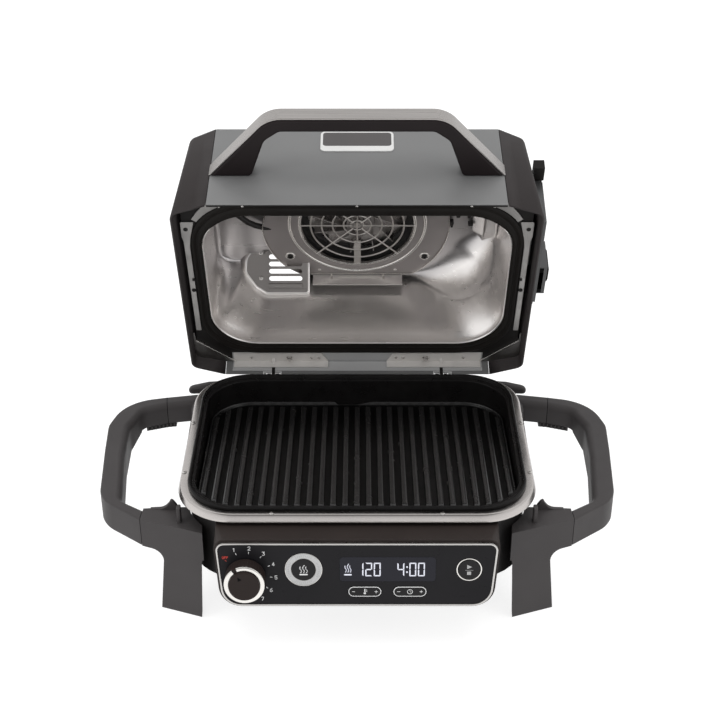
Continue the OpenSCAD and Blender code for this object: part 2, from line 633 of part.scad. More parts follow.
base_shell();
bottom_plate();
rim_ring();
rim_screws();
inner_pot();
front_leg_left();
front_leg_right();
rear_leg_left();
rear_leg_right();
side_handle_left();
side_handle_right();
rubber_feet();
cord_hooks();
hinge_ears();
tray_rails();
cord_gland();
power_board();
panel_housing();
panel_fascia();
panel_frame();
display_lens();
control_board();
encoder();
button_rings();
grill_plate();
grease_tray();
knob();
knob_ring();
knob_shaft();
flavour_button();
start_button();
temp_rocker();
time_rocker();
lid_skin();
end_cap_left();
end_cap_right();
lid_frame();
lid_liner();
lid_seal();
liner_brackets();
lid_screws();
lid_handle();
handle_strap();
badge_plate();
fan_plate();
fan_guard();
fan_shroud();
fan_motor();
fan_impeller();
fan_shaft();
heating_element();
air_deflector();
vent_louvre();
exhaust_duct();
hinge_brackets();
hinge_pins();
smoke_housing();
smoke_igniter();
smoke_box();
smoke_flap();
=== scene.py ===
import json
from math import sin, cos, tan, radians, pi, sqrt, atan2, hypot

import bpy
import bmesh
from mathutils import Matrix, Vector
from mathutils.geometry import delaunay_2d_cdt


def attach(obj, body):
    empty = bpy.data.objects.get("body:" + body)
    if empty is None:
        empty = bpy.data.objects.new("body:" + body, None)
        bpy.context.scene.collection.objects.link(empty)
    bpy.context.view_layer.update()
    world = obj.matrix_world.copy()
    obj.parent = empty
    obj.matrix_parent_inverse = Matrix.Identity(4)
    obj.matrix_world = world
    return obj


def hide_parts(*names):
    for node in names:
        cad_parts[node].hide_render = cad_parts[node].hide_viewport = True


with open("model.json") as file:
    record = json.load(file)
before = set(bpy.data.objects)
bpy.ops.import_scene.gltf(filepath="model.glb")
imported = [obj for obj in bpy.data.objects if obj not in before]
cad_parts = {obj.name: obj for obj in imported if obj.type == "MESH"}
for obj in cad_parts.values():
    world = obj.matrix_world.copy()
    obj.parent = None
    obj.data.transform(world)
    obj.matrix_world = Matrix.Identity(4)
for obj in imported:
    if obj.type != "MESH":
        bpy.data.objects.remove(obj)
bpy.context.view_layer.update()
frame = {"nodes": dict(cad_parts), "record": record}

REC = frame["record"]
BODY = {n: b for b, ns in REC["behaviour"]["bodies"].items() for n in ns}
SLOT = {s["node"]: s["material_slot"] for s in REC["subparts"]}
NODES = frame["nodes"]
SCENE = bpy.context.scene

# ---------------------------------------------------------------- places
# Everything below is written in the design millimetres of part.scad; these put it in the row frame.
C69, S69 = cos(radians(69)), sin(radians(69))
PT, WT, GT, VT = radians(80.5), radians(80), radians(-4.4), radians(44.6)


def base(p):
    return (p[0] * .001, (p[1] - 48.0) * .001, p[2] * .001)


def lid(p):
    a, b = p[1] - 157.2, p[2] - 135.7
    return base((p[0], 157.2 + a * C69 + b * S69, 135.7 - a * S69 + b * C69))


def down(p):
    """lid frame seen from underneath: z counts down from the carrier frame"""
    return lid((p[0], p[1], 163.0 - p[2]))


def panel(p):
    return base((p[0], -175.5 + p[1] * cos(PT) - p[2] * sin(PT), 141.1 + p[1] * sin(PT) + p[2] * cos(PT)))


def wall(p):
    return lid((p[0], -151 + p[1] * cos(WT) - p[2] * sin(WT), 146 + p[1] * sin(WT) + p[2] * cos(WT)))


def plate(p):
    return base((p[0], p[1] * cos(GT) - p[2] * sin(GT), 131 + p[1] * sin(GT) + p[2] * cos(GT)))


def louvre(p):
    return lid((p[0], 61.5 + p[1] * cos(VT) - p[2] * sin(VT), 269.2 - p[1] * sin(VT) - p[2] * cos(VT)))


def flip(fn, s):
    return lambda p: fn((s * p[0], p[1], p[2]))


def moved(fn, dx, dy, dz=0.0, turn=0.0):
    c, s = cos(radians(turn)), sin(radians(turn))
    return lambda p: fn((dx + p[0] * c - p[1] * s, dy + p[0] * s + p[1] * c, dz + p[2]))


# ---------------------------------------------------------------- 2-D helpers
def rr(w, d, r, z=0.0, n=12, cx=0.0, cy=0.0, m=1):
    out = []
    cs = ((1, 1), (-1, 1), (-1, -1), (1, -1))
    for k in range(4):
        ox, oy = cx + cs[k][0] * (w / 2 - r), cy + cs[k][1] * (d / 2 - r)
        for i in range(n + 1):
            a = radians(90 * k + 90 * i / n)
            out.append((ox + r * cos(a), oy + r * sin(a), z))
        if m > 1:
            tx, ty = cs[(k + 1) % 4]
            a = radians(90 * (k + 1))
            p = out[-1]
            q = (cx + tx * (w / 2 - r) + r * cos(a), cy + ty * (d / 2 - r) + r * sin(a))
            for j in range(1, m):
                t = j / m
                out.append((p[0] + (q[0] - p[0]) * t, p[1] + (q[1] - p[1]) * t, z))
    return out


def arcs(pts, rad, n=6, closed=True):
    """polygon or polyline with rounded corners; the same count of points for the same pattern of radii"""
    out, N = [], len(pts)
    for i in range(N):
        r = rad[i] if isinstance(rad, (list, tuple)) else rad
        p = Vector(pts[i][:2])
        if r <= 0 or (not closed and i in (0, N - 1)):
            out.append((p.x, p.y))
            continue
        a = (Vector(pts[i - 1][:2]) - p).normalized()
        b = (Vector(pts[(i + 1) % N][:2]) - p).normalized()
        ang = a.angle(b)
        t = r / tan(ang / 2)
        c = p + (a + b).normalized() * (r / sin(ang / 2))
        p0, p1 = p + a * t, p + b * t
        a0 = atan2(p0.y - c.y, p0.x - c.x)
        d = atan2(p1.y - c.y, p1.x - c.x) - a0
        while d > pi:
            d -= 2 * pi
        while d < -pi:
            d += 2 * pi
        for j in range(n + 1):
            out.append((c.x + r * cos(a0 + d * j / n), c.y + r * sin(a0 + d * j / n)))
    return out


def inset(pts, d):
    """loop moved inwards (counter-clockwise loops)"""
    out, N = [], len(pts)
    for i in range(N):
        p0, p1, p2 = pts[i - 1], pts[i], pts[(i + 1) % N]
        e1 = Vector((p1[0] - p0[0], p1[1] - p0[1]))
        e2 = Vector((p2[0] - p1[0], p2[1] - p1[1]))
        if e1.length < 1e-9:
            e1 = e2
        if e2.length < 1e-9:
            e2 = e1
        e1.normalize()
        e2.normalize()
        n1, n2 = Vector((-e1.y, e1.x)), Vector((-e2.y, e2.x))
        k = d / max(0.25, 1 + n1.dot(n2))
        out.append((p1[0] + (n1.x + n2.x) * k, p1[1] + (n1.y + n2.y) * k))
    return out


def ring2(r, n=64, cx=0.0, cy=0.0, a0=0.0):
    return [(cx + r * cos(a0 + 2 * pi * i / n), cy + r * sin(a0 + 2 * pi * i / n)) for i in range(n)]


def pill(w, h, n=10):
    return [q[:2] for q in rr(w, h, h / 2 - .001, 0, n)]


def at_z(loop, z):
    return [(p[0], p[1], z) for p in loop]


def within(x, y, loop):
    hit = False
    for a, b in zip(loop, loop[1:] + loop[:1]):
        if (a[1] > y) != (b[1] > y) and x < a[0] + (y - a[1]) * (b[0] - a[0]) / (b[1] - a[1]):
            hit = not hit
    return hit


def cast(th, loop):
    """distance from the middle to a closed loop along one direction"""
    ux, uy, best = cos(th), sin(th), 0.0
    for a, b in zip(loop, loop[1:] + loop[:1]):
        dx, dy = b[0] - a[0], b[1] - a[1]
        den = ux * dy - uy * dx
        if abs(den) > 1e-12:
            k = (a[0] * uy - a[1] * ux) / den
            if -1e-9 <= k <= 1 + 1e-9:
                best = max(best, (a[0] * dy - a[1] * dx) / den)
    return best


def gap(x, y, loop):
    """distance from a point to a closed loop"""
    best = 1e9
    for a, b in zip(loop, loop[1:] + loop[:1]):
        dx, dy = b[0] - a[0], b[1] - a[1]
        k = min(1.0, max(0.0, ((x - a[0]) * dx + (y - a[1]) * dy) / max(1e-9, dx * dx + dy * dy)))
        best = min(best, hypot(x - a[0] - k * dx, y - a[1] - k * dy))
    return best


def smooth(t):
    t = min(1.0, max(0.0, t))
    return t * t * (3 - 2 * t)


def mix(a, b, t):
    return tuple(x + (y - x) * t for x, y in zip(a, b))


# ---------------------------------------------------------------- mesh pieces
class Piece:
    def __init__(self, name, body, fn=base):
        self.name, self.body, self.fn = name, body, fn
        self.bm, self.mi = bmesh.new(), 0

    def v(self, p):
        return self.bm.verts.new(self.fn(p))

    def loop(self, pts):
        return [self.v(p) for p in pts]

    def face(self, vs):
        f = None
        if len(set(vs)) > 2:
            try:
                f = self.bm.faces.new(vs)
                f.material_index = self.mi
            except ValueError:
                f = None
        return f

    def bridge(self, a, b, closed=True):
        n = len(a)
        for i in range(n if closed else n - 1):
            j = (i + 1) % n
            self.face((a[i], a[j], b[j], b[i]))

    def loft(self, loops, ring=False, cap0=True, cap1=True, closed=True):
        L = [self.loop(p) for p in loops]
        for a, b in zip(L, L[1:]):
            self.bridge(a, b, closed)
        if ring:
            self.bridge(L[-1], L[0], closed)
        else:
            if cap0:
                self.face(L[0][::-1])
            if cap1:
                self.face(L[-1])
        return L

    def slab(self, loop, z0, z1, rt=0.0, rb=0.0, k=3):
        """extruded loop with rounded top and bottom edges"""
        L = []
        for i in range(k + 1 if rb else 1):
            a = pi / 2 * i / k
            d, z = (rb * (1 - sin(a)), z0 + rb * (1 - cos(a))) if rb else (0, z0)
            L.append(at_z(inset(loop, d) if d else loop, z))
        for i in range(k + 1 if rt else 1):
            a = pi / 2 * i / k
            d, z = (rt * (1 - cos(a)), z1 - rt * (1 - sin(a))) if rt else (0, z1)
            L.append(at_z(inset(loop, d) if d else loop, z))
        return self.loft(L)

    def fill(self, rings, verts):
        """flat face inside the first ring, with the other rings left open"""
        pts, edges = [], []
        for lp in rings:
            i0, n = len(pts), len(lp)
            pts += [Vector((q[0], q[1])) for q in lp]
            edges += [(i0 + i, i0 + (i + 1) % n) for i in range(n)]
        v, _, f, ov, _, _ = delaunay_2d_cdt(pts, edges, [], 0, 1e-6)
        have = [w for l in verts for w in l]
        vm = {k: have[l[0]] for k, l in enumerate(ov) if l}
        rings = [[(q[0], q[1]) for q in lp] for lp in rings]
        for tri in f:
            x, y = sum(v[i].x for i in tri) / 3, sum(v[i].y for i in tri) / 3
            if within(x, y, rings[0]) and not any(within(x, y, h) for h in rings[1:]) and all(i in vm for i in tri):
                self.face([vm[i] for i in tri])

    def flat(self, outer, holes, z0, z1):
        """plate with holes"""
        rings = [list(outer)] + [list(h) for h in holes]
        top = [self.loop(at_z(lp, z1)) for lp in rings]
        bot = [self.loop(at_z(lp, z0)) for lp in rings]
        self.fill(rings, top)
        self.fill(rings, bot)
        for a, b in zip(top, bot):
            self.bridge(a, b)

    def revolve(self, prof, n=48, cx=0.0, cy=0.0, ring=False, a0=0.0, a1=360.0):
        """(r, z) profile turned about the local z axis"""
        full = abs(a1 - a0) >= 359.99
        cnt = n if full else n + 1
        loops = []
        for r, z in prof:
            loops.append([(cx + r * cos(radians(a0 + (a1 - a0) * i / n)), cy + r * sin(radians(a0 + (a1 - a0) * i / n)), z) for i in range(cnt)])
        if full:
            return self.loft(loops, ring=ring)
        L = [self.loop(p) for p in loops]
        for a, b in zip(L, L[1:]):
            self.bridge(a, b, False)
        if ring:
            self.bridge(L[-1], L[0], False)
        self.face([l[0] for l in L])
        self.face([l[-1] for l in L][::-1])

    def tube(self, pts, r, n=10, closed=False):
        P = [Vector(p) for p in pts]
        N = len(P)
        up, L = None, []
        for i in range(N):
            if closed:
                t = (P[(i + 1) % N] - P[i - 1]).normalized()
            else:
                t = (P[min(i + 1, N - 1)] - P[max(i - 1, 0)]).normalized()
            if up is None:
                up = Vector((0, 0, 1)) if abs(t.z) < .9 else Vector((1, 0, 0))
            s = t.cross(up).normalized()
            up = s.cross(t).normalized()
            rr_ = r[i] if isinstance(r, (list, tuple)) else r
            L.append([tuple(P[i] + s * (rr_ * cos(2 * pi * k / n)) + up * (rr_ * sin(2 * pi * k / n))) for k in range(n)])
        self.loft(L, ring=closed)

    def box(self, x0, x1, y0, y1, z0, z1):
        self.loft([[(x0, y0, z), (x1, y0, z), (x1, y1, z), (x0, y1, z)] for z in (z0, z1)])

    def line(self, pts, w, z0, z1):
        """strokes of width w along a polyline, as thin prisms"""
        for a, b in zip(pts, pts[1:]):
            d = Vector((b[0] - a[0], b[1] - a[1]))
            if d.length < 1e-6:
                continue
            d.normalize()
            n = Vector((-d.y, d.x)) * (w / 2)
            e = d * (w * .35)
            q = [(a[0] - e.x - n.x, a[1] - e.y - n.y), (b[0] + e.x - n.x, b[1] + e.y - n.y), (b[0] + e.x + n.x, b[1] + e.y + n.y), (a[0] - e.x + n.x, a[1] - e.y + n.y)]
            self.loft([at_z(q, z0), at_z(q, z1)])

    def screw(self, x, y, z, r, h, turn=20.0, kind="cross"):
        """pan head with a driver recess, standing on the local z plane"""
        n = 24
        rings = [(r, 0.0), (r, h * .35), (r * .96, h * .6), (r * .86, h * .82), (r * .7, h)]
        L = [self.loop([(x + q * cos(2 * pi * i / n), y + q * sin(2 * pi * i / n), z + k) for i in range(n)]) for q, k in rings]
        for a, b in zip(L, L[1:]):
            self.bridge(a, b)
        self.face(L[0][::-1])
        if kind == "cross":
            a, b = r * .13, r * .5
            lp = [(b, -a), (b, a), (a, a), (a, b), (-a, b), (-a, a), (-b, a), (-b, -a), (-a, -a), (-a, -b), (a, -b), (a, -a)]
        else:
            lp = [(r * .42 * cos(pi * i / 3), r * .42 * sin(pi * i / 3)) for i in range(6)]
        c, s = cos(radians(turn)), sin(radians(turn))
        lp = [(x + p[0] * c - p[1] * s, y + p[0] * s + p[1] * c) for p in lp]
        outer = [(x + r * .7 * cos(2 * pi * i / n), y + r * .7 * sin(2 * pi * i / n)) for i in range(n)]
        lip = self.loop([(p[0], p[1], z + h) for p in lp])
        self.fill([outer, lp], [L[-1], lip])
        low = self.loop([(x + (p[0] - x) * .8, y + (p[1] - y) * .8, z + h * .3) for p in lp])
        self.bridge(lip, low)
        self.face(low)

    def orient(self, mid):
        """face normals away from a point"""
        bmesh.ops.remove_doubles(self.bm, verts=self.bm.verts, dist=2e-6)
        bmesh.ops.recalc_face_normals(self.bm, faces=self.bm.faces)
        m = Vector(mid)
        if sum(f.normal.dot((f.calc_center_median() - m).normalized()) * f.calc_area() for f in self.bm.faces) < 0:
            bmesh.ops.reverse_faces(self.bm, faces=self.bm.faces)

    def done(self, mats, bevel=0.0, seg=2, angle=32.0, soft=38.0, replaces=(), slot=None, thick=0.0, weighted=True):
        bm = self.bm
        bmesh.ops.remove_doubles(bm, verts=bm.verts, dist=2e-6)
        if not thick:
            bmesh.ops.recalc_face_normals(bm, faces=bm.faces)
        if bevel:
            ed = [e for e in bm.edges if len(e.link_faces) == 2 and e.calc_face_angle(0) > radians(angle)]
            bmesh.ops.bevel(bm, geom=ed, offset=bevel * .001, offset_type="OFFSET", segments=seg, profile=.5, affect="EDGES", clamp_overlap=True)
        me = bpy.data.meshes.new(self.name)
        bm.to_mesh(me)
        bm.free()
        for m in mats if isinstance(mats, (list, tuple)) else [mats]:
            me.materials.append(m)
        me.shade_smooth()
        me.set_sharp_from_angle(angle=radians(soft))
        ob = bpy.data.objects.new(self.name, me)
        SCENE.collection.objects.link(ob)
        if thick:
            so = ob.modifiers.new("sheet", "SOLIDIFY")
            so.thickness, so.offset = abs(thick) * .001, 1.0 if thick > 0 else -1.0
        if weighted:
            w = ob.modifiers.new("normals", "WEIGHTED_NORMAL")
            w.keep_sharp = True
        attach(ob, self.body)
        if isinstance(replaces, str):
            replaces = (replaces,)
        if replaces:
            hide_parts(*replaces)
            slot = slot or SLOT[replaces[0]]
        return ob


def refine(node, mats, bevel=0.5, seg=2, angle=32.0, soft=38.0, extra=None):
    """the CAD node's own faces as a clean mesh with rounded edges"""
    p = Piece(node + "_v", BODY[node])
    me = NODES[node].data
    vs = [p.bm.verts.new(v.co) for v in me.vertices]
    p.bm.verts.ensure_lookup_table()
    bmesh.ops.remove_doubles(p.bm, verts=p.bm.verts, dist=0)
    for f in me.polygons:
        p.face([vs[i] for i in f.vertices])
    bmesh.ops.remove_doubles(p.bm, verts=p.bm.verts, dist=4e-6)
    bmesh.ops.dissolve_limit(p.bm, angle_limit=radians(.5), verts=p.bm.verts, edges=p.bm.edges)
    if extra:
        extra(p)
    return p.done(mats, bevel, seg, angle, soft, replaces=node)


def unlid(c):
    """row frame, metres -> lid frame, millimetres"""
    a, b = c.y * 1000 + 48 - 157.2, c.z * 1000 - 135.7
    return c.x * 1000, 157.2 + a * C69 - b * S69, 135.7 + a * S69 + b * C69


def paint(node, m):
    me = NODES[node].data
    me.materials.clear()
    me.materials.append(m)


# ---------------------------------------------------------------- materials
def mat(name, col, rough, metal=0.0, var=.08, vs=30.0, rv=.05, rs=60.0, grain=0.0, gs=1500.0, gd=.00015, stretch=None, coat=0.0, spec=.5, glow=0.0, waves=0.0, ws=6.0, aniso=0.0, wear=0.0):
    m = bpy.data.materials.new(name)
    m.use_nodes = True
    nt = m.node_tree
    N, L = nt.nodes, nt.links
    b = N["Principled BSDF"]
    b.inputs["Metallic"].default_value = metal
    b.inputs["Specular IOR Level"].default_value = spec
    b.inputs["Coat Weight"].default_value = coat
    b.inputs["Coat Roughness"].default_value = .06
    b.inputs["Anisotropic"].default_value = aniso
    tc = N.new("ShaderNodeTexCoord")
    plain = fine = tc.outputs["Object"]
    if stretch:
        mp = N.new("ShaderNodeMapping")
        mp.inputs["Scale"].default_value = stretch
        L.new(plain, mp.inputs["Vector"])
        fine = mp.outputs["Vector"]

    def noise(src, scale, detail):
        n = N.new("ShaderNodeTexNoise")
        n.inputs["Scale"].default_value = scale
        n.inputs["Detail"].default_value = detail
        L.new(src, n.inputs["Vector"])
        return n.outputs["Fac"]

    cr = N.new("ShaderNodeValToRGB")
    cr.color_ramp.elements[0].position = .28
    cr.color_ramp.elements[1].position = .72
    cr.color_ramp.elements[0].color = tuple(c * (1 - var) for c in col) + (1,)
    cr.color_ramp.elements[1].color = tuple(min(1, c * (1 + var)) for c in col) + (1,)
    L.new(noise(fine if stretch else plain, vs, 6), cr.inputs["Fac"])
    L.new(cr.outputs["Color"], b.inputs["Base Color"])
    if glow:
        L.new(cr.outputs["Color"], b.inputs["Emission Color"])
        b.inputs["Emission Strength"].default_value = glow
    mr = N.new("ShaderNodeMapRange")
    mr.inputs["From Min"].default_value = .3
    mr.inputs["From Max"].default_value = .7
    mr.inputs["To Min"].default_value = max(.02, rough - rv)
    mr.inputs["To Max"].default_value = min(1, rough + rv)
    L.new(noise(fine if stretch else plain, rs, 5), mr.inputs["Value"])
    L.new(mr.outputs["Result"], b.inputs["Roughness"])
    nrm = None
    if grain:
        bp = N.new("ShaderNodeBump")
        bp.inputs["Strength"].default_value = grain
        bp.inputs["Distance"].default_value = gd
        L.new(noise(fine, gs, 3), bp.inputs["Height"])
        nrm = bp.outputs["Normal"]
    if waves:
        bp = N.new("ShaderNodeBump")
        bp.inputs["Strength"].default_value = waves
        bp.inputs["Distance"].default_value = .002
        L.new(noise(plain, ws, 2), bp.inputs["Height"])
        if nrm:
            L.new(nrm, bp.inputs["Normal"])
        nrm = bp.outputs["Normal"]
    if nrm:
        L.new(nrm, b.inputs["Normal"])
    return m


SKIN = mat("painted_grey_m", (.150, .151, .151), .44, .25, var=.03, grain=.10, gs=1700, rv=.04, spec=.4)
CAP = mat("cap_plastic_m", (.026, .0225, .0225), .52, grain=.30, gs=1500, var=.06, spec=.22)
LEG = mat("leg_plastic_m", (.040, .0365, .0368), .55, grain=.32, gs=1400, var=.07, spec=.25)
SHELL = mat("shell_m", (.009, .0082, .0082), .48, grain=.15, gs=1300, spec=.2)
BLACK = mat("black_frame_m", (.007, .0062, .0058), .5, grain=.12, gs=1200, spec=.15)
HEMGREY = mat("inner_grey_m", (.34, .34, .34), .5, .2, grain=.1, gs=1300, var=.04, spec=.3)
RING = mat("rim_steel_m", (.48, .455, .44), .22, 1.0, var=.04, vs=12, rv=.05, rs=18)
SCREW = mat("screw_steel_m", (.66, .64, .62), .26, 1.0, var=.06, rv=.08, vs=200, rs=300)
POT = mat("pot_coat_m", (.0048, .0044, .0044), .30, var=.25, vs=60, rv=.05, grain=.06, gs=900, gd=.0001, spec=.16)
GRID = mat("plate_coat_m", (.0080, .0077, .0077), .25, var=.12, vs=50, rv=.03, grain=.006, gs=850, gd=.0001, spec=.6)
# painted shade: a darker, duller copy of the plate's coating for the floor between the ribs
GRID_GROOVE_SHADE = mat("plate_floor_painted_shade_m", (.0014, .0013, .0013), .36, var=.12, vs=50, rv=.04, grain=.012, gs=850, gd=.0001, spec=.16)
RUBBER = mat("rubber_m", (.008, .008, .008), .8, grain=.3, gs=900, spec=.2)
BRACK = mat("bracket_steel_m", (.34, .33, .32), .36, 1.0, var=.08, rv=.08, vs=45, rs=90, grain=.06, gs=500, waves=.05, ws=40)
BRACKH = mat("hinge_steel_m", (.60, .58, .56), .40, .45, var=.08, rv=.08, vs=45, rs=90, grain=.06, gs=500, waves=.05, ws=40)
GLAND = mat("gland_m", (.012, .012, .012), .6, grain=.2)
BOARD = mat("board_m", (.03, .11, .045), .4, grain=.1)
HOUSE = mat("panel_house_m", (.021, .0162, .0148), .42, grain=.22, gs=1500, var=.08, spec=.2)
GLOSS = mat("panel_gloss_m", (.0105, .0100, .0112), .30, var=.10, rv=.05, spec=.10)
TRIM = mat("trim_m", (.74, .72, .69), .24, 1.0, var=.04, rv=.05)
FRAMET = mat("panel_trim_m", (.52, .505, .49), .28, 1.0, var=.04, rv=.05)
LOUV = mat("louvre_m", (.33, .31, .30), .44, 1.0, var=.05, rv=.06, grain=.06, gs=600)
RINGPALE = mat("button_ring_m", (.40, .40, .40), .42, .25, var=.05, rv=.05, grain=.1, gs=900)
LENS = mat("lens_m", (.019, .019, .024), .2, var=.06, vs=12, rv=.04, spec=.08)
KNOB = mat("knob_m", (.018, .0130, .0118), .42, grain=.2, gs=1500, spec=.12)
KEY = mat("key_m", (.012, .0115, .012), .30, var=.08, rv=.04, spec=.14)
TRAY = mat("tray_m", (.030, .0285, .027), .45, .2, grain=.15, gs=700)
SMOKEB = mat("smoke_body_m", (.10, .10, .101), .36, .7, grain=.12, gs=1500, var=.05)
LINER = mat("liner_m", (.84, .81, .79), .29, .94, var=.04, vs=120, rv=.02, rs=240, grain=.02, gs=420, gd=.00005, stretch=(.04, 1, 1))
# painted shade and light: the steel's colour runs from bright on the walls to dark towards the ceiling, counted along
# the height of the lid, standing in for the darker reflections in the ceiling
LN, LL = LINER.node_tree.nodes, LINER.node_tree.links
lc, lm, lg, lr = LN.new("ShaderNodeTexCoord"), LN.new("ShaderNodeMapping"), LN.new("ShaderNodeTexGradient"), LN.new("ShaderNodeValToRGB")
lm.inputs["Rotation"].default_value = (Matrix.Rotation(radians(21), 3, "Y") @ Matrix.Rotation(radians(-90), 3, "Z")).to_euler("XYZ")
lm.inputs["Scale"].default_value = (25, 25, 25)
lm.inputs["Location"].default_value = ((135.7 - 109.2 * S69 - 135.7 * C69 - 230) / 40, 0, 0)
lr.color_ramp.elements[0].position, lr.color_ramp.elements[0].color = .56, (.93, .90, .88, 1)
lr.color_ramp.elements[1].position, lr.color_ramp.elements[1].color = .86, (.53, .51, .51, 1)
LL.new(lc.outputs["Object"], lm.inputs["Vector"])
LL.new(lm.outputs["Vector"], lg.inputs["Vector"])
LL.new(lg.outputs["Fac"], lr.inputs["Fac"])
LL.new(lr.outputs["Color"], LN["Principled BSDF"].inputs["Base Color"])
FANP = mat("fan_plate_m", (.43, .40, .395), .44, 1.0, var=.05, rv=.06, grain=.06, gs=600)
WIRE = mat("guard_wire_m", (.54, .515, .49), .32, 1.0, var=.08, vs=80, rv=.06)
SEAL = mat("seal_m", (.0085, .0074, .0066), .5, var=.12, grain=.2, gs=800, spec=.09)
HANDLE = mat("handle_m", (.0105, .0078, .0082), .46, grain=.25, gs=1500, spec=.14)
STRAP = mat("strap_m", (.38, .362, .35), .32, 1.0, var=.20, rv=.09, stretch=(3, 500, 500), vs=3, rs=3, grain=.10, gs=4, gd=.00006)
PLATEL = mat("badge_light_m", (.66, .66, .65), .34, .6, var=.03, rv=.05)
PLATED = mat("badge_dark_m", (.055, .05, .05), .36, .2, var=.06)
MOTOR = mat("motor_m", (.09, .086, .084), .5, .6)
BLADE = mat("blade_m", (.40, .38, .37), .30, 1.0, var=.2, rv=.08)
ELEM = mat("element_m", (.010, .0088, .0085), .45, grain=.3, gs=500, spec=.3)
GLOW = mat("digit_glow_m", (.56, .57, .64), .4, glow=.22, var=.02)
PRINT = mat("print_grey_m", (.30, .30, .30), .5, var=.05)
PRINTW = mat("print_light_m", (.62, .62, .62), .45, var=.04)
RED = mat("print_red_m", (.40, .03, .02), .5, var=.05)
DARK = mat("dark_hole_m", (.003, .003, .003), .7, var=.1, spec=.05)

# ================================================================ base
# ---- stainless rim ring
p = Piece("rim_ring_v", "base")
prof = [(1.2, 145.6), (.5, 145.5), (.1, 145.8), (0, 146.3), (.7, 148.6), (1.6, 151.4), (2.3, 153.3), (2.8, 154.2), (3.5, 154.75), (4.6, 155), (10.6, 155), (12.4, 154.9), (12.8, 154.4), (12.4, 153.85), (4.2, 153.8), (3.4, 153.2), (2.9, 152.2), (1.2, 146.4)]
p.loft([rr(398 - 2 * d, 293 - 2 * d, 66 - d, z, 16) for d, z in prof], ring=True)
p.done(RING, soft=50, replaces="rim_ring")

p = Piece("rim_screws_v", "base")
for s in (-1, 1):
    for x, y, t in ((92, -141.8, 15), (193.7, -66, 40), (193.7, 34, 70)):
        p.screw(s * x, y, 155, 2.6, 1.1, t * s)
p.done(SCREW, replaces="rim_screws")

# ---- black tub, floor
refine("base_shell", SHELL, 1.0, 3)
refine("bottom_plate", BLACK, .4)
paint("tray_rails", BRACK)
paint("power_board", BOARD)
refine("rubber_feet", RUBBER, .8)
refine("cord_gland", GLAND, .7)
refine("grease_tray", TRAY, .7)
refine("hinge_ears", SHELL, .5)
refine("rear_leg_left", LEG, 1.8, 3)
refine("rear_leg_right", LEG, 1.8, 3)

# ---- cord hooks: block on the rear leg and a tapered arm with a round end
p = Piece("cord_hooks_v", "base")
for s in (-1, 1):
    p.fn = flip(base, s)
    p.slab([q[:2] for q in rr(15, 22, 2.5, 0, 4, 179, 161)], 112, 123.6, 1.6, 1.6)
    rows = []
    for x, y, z, hy, hz in ((163.2, 171.4, 118.2, 4.5, 4.0), (163.8, 171.4, 118.2, 5.4, 5.6), (166, 171.4, 118.4, 6.2, 7.0), (178, 171.4, 118.5, 6.6, 7.4), (190, 170.8, 118.6, 6.4, 6.8), (197, 169.8, 118.4, 6.0, 6.0), (204, 168.6, 118.2, 5.6, 5.3), (209, 167.6, 118.1, 5.2, 4.9), (211.8, 167.0, 118, 4.6, 4.3), (213.6, 166.6, 118, 3.4, 3.2), (214.6, 166.4, 118, 1.6, 1.5), (214.8, 166.4, 118, .6, .6)):
        rows.append([(x, y + hy * cos(2 * pi * k / 24) * (1.0 + .18 * sin(4 * pi * k / 24) ** 2), z + hz * sin(2 * pi * k / 24) * (1.0 + .18 * sin(4 * pi * k / 24) ** 2)) for k in range(24)])
    p.loft(rows)
p.done(LEG, soft=60, replaces="cord_hooks")

# ---- cooking pot: rolled lip, step under the lip, filleted floor
p = Piece("inner_pot_v", "base")
pot = [(352, 249, 50, 104), (361, 258, 53, 104.8), (364, 261, 54.5, 107), (365, 262, 55, 110), (365, 262, 55, 154.2), (374.6, 272.6, 55.6, 155.02), (375.8, 273.8, 56, 155.5), (376, 274, 56, 156.4), (376, 274, 56, 158.2), (375.5, 273.5, 55.8, 159.3), (374.2, 272.2, 55.2, 159.9), (372.6, 270.6, 54.6, 160), (370.4, 268.4, 54, 159.9), (368.9, 266.9, 53.4, 159.3), (368.2, 266.2, 53.1, 158.3), (368, 266, 53, 157), (367.3, 265.2, 53, 156.3), (365.5, 263, 53, 156), (361.6, 258.8, 53, 155.8), (360.4, 257.4, 53, 155.2), (360, 257, 53, 154), (359.4, 256.4, 53, 134), (358.6, 255.6, 52.6, 114), (356.8, 253.8, 52, 109.6), (352, 249, 50, 107.4), (346, 243, 48, 107)]
p.loft([rr(w, d, r, z, 16) for w, d, r, z in pot])
for sx in (-120, 120):
    for sy in (-90, 90):
        p.revolve([(5, 106), (5, 121), (4.5, 121.6)], 20, sx, sy)
p.done(POT, soft=45, replaces="inner_pot")

# ---- grill plate: rim with a spout notch at the back, rounded ribs
p = Piece("grill_plate_v", "grill_plate", plate)


def notch(q):
    x, y, z = q
    if y > 100 and z > .5 and -27 < x < 18:
        low = .9 if x < -1 else .9 + (x + 1) / 19 * 4.3
        return (x, y, min(z, low))
    return q


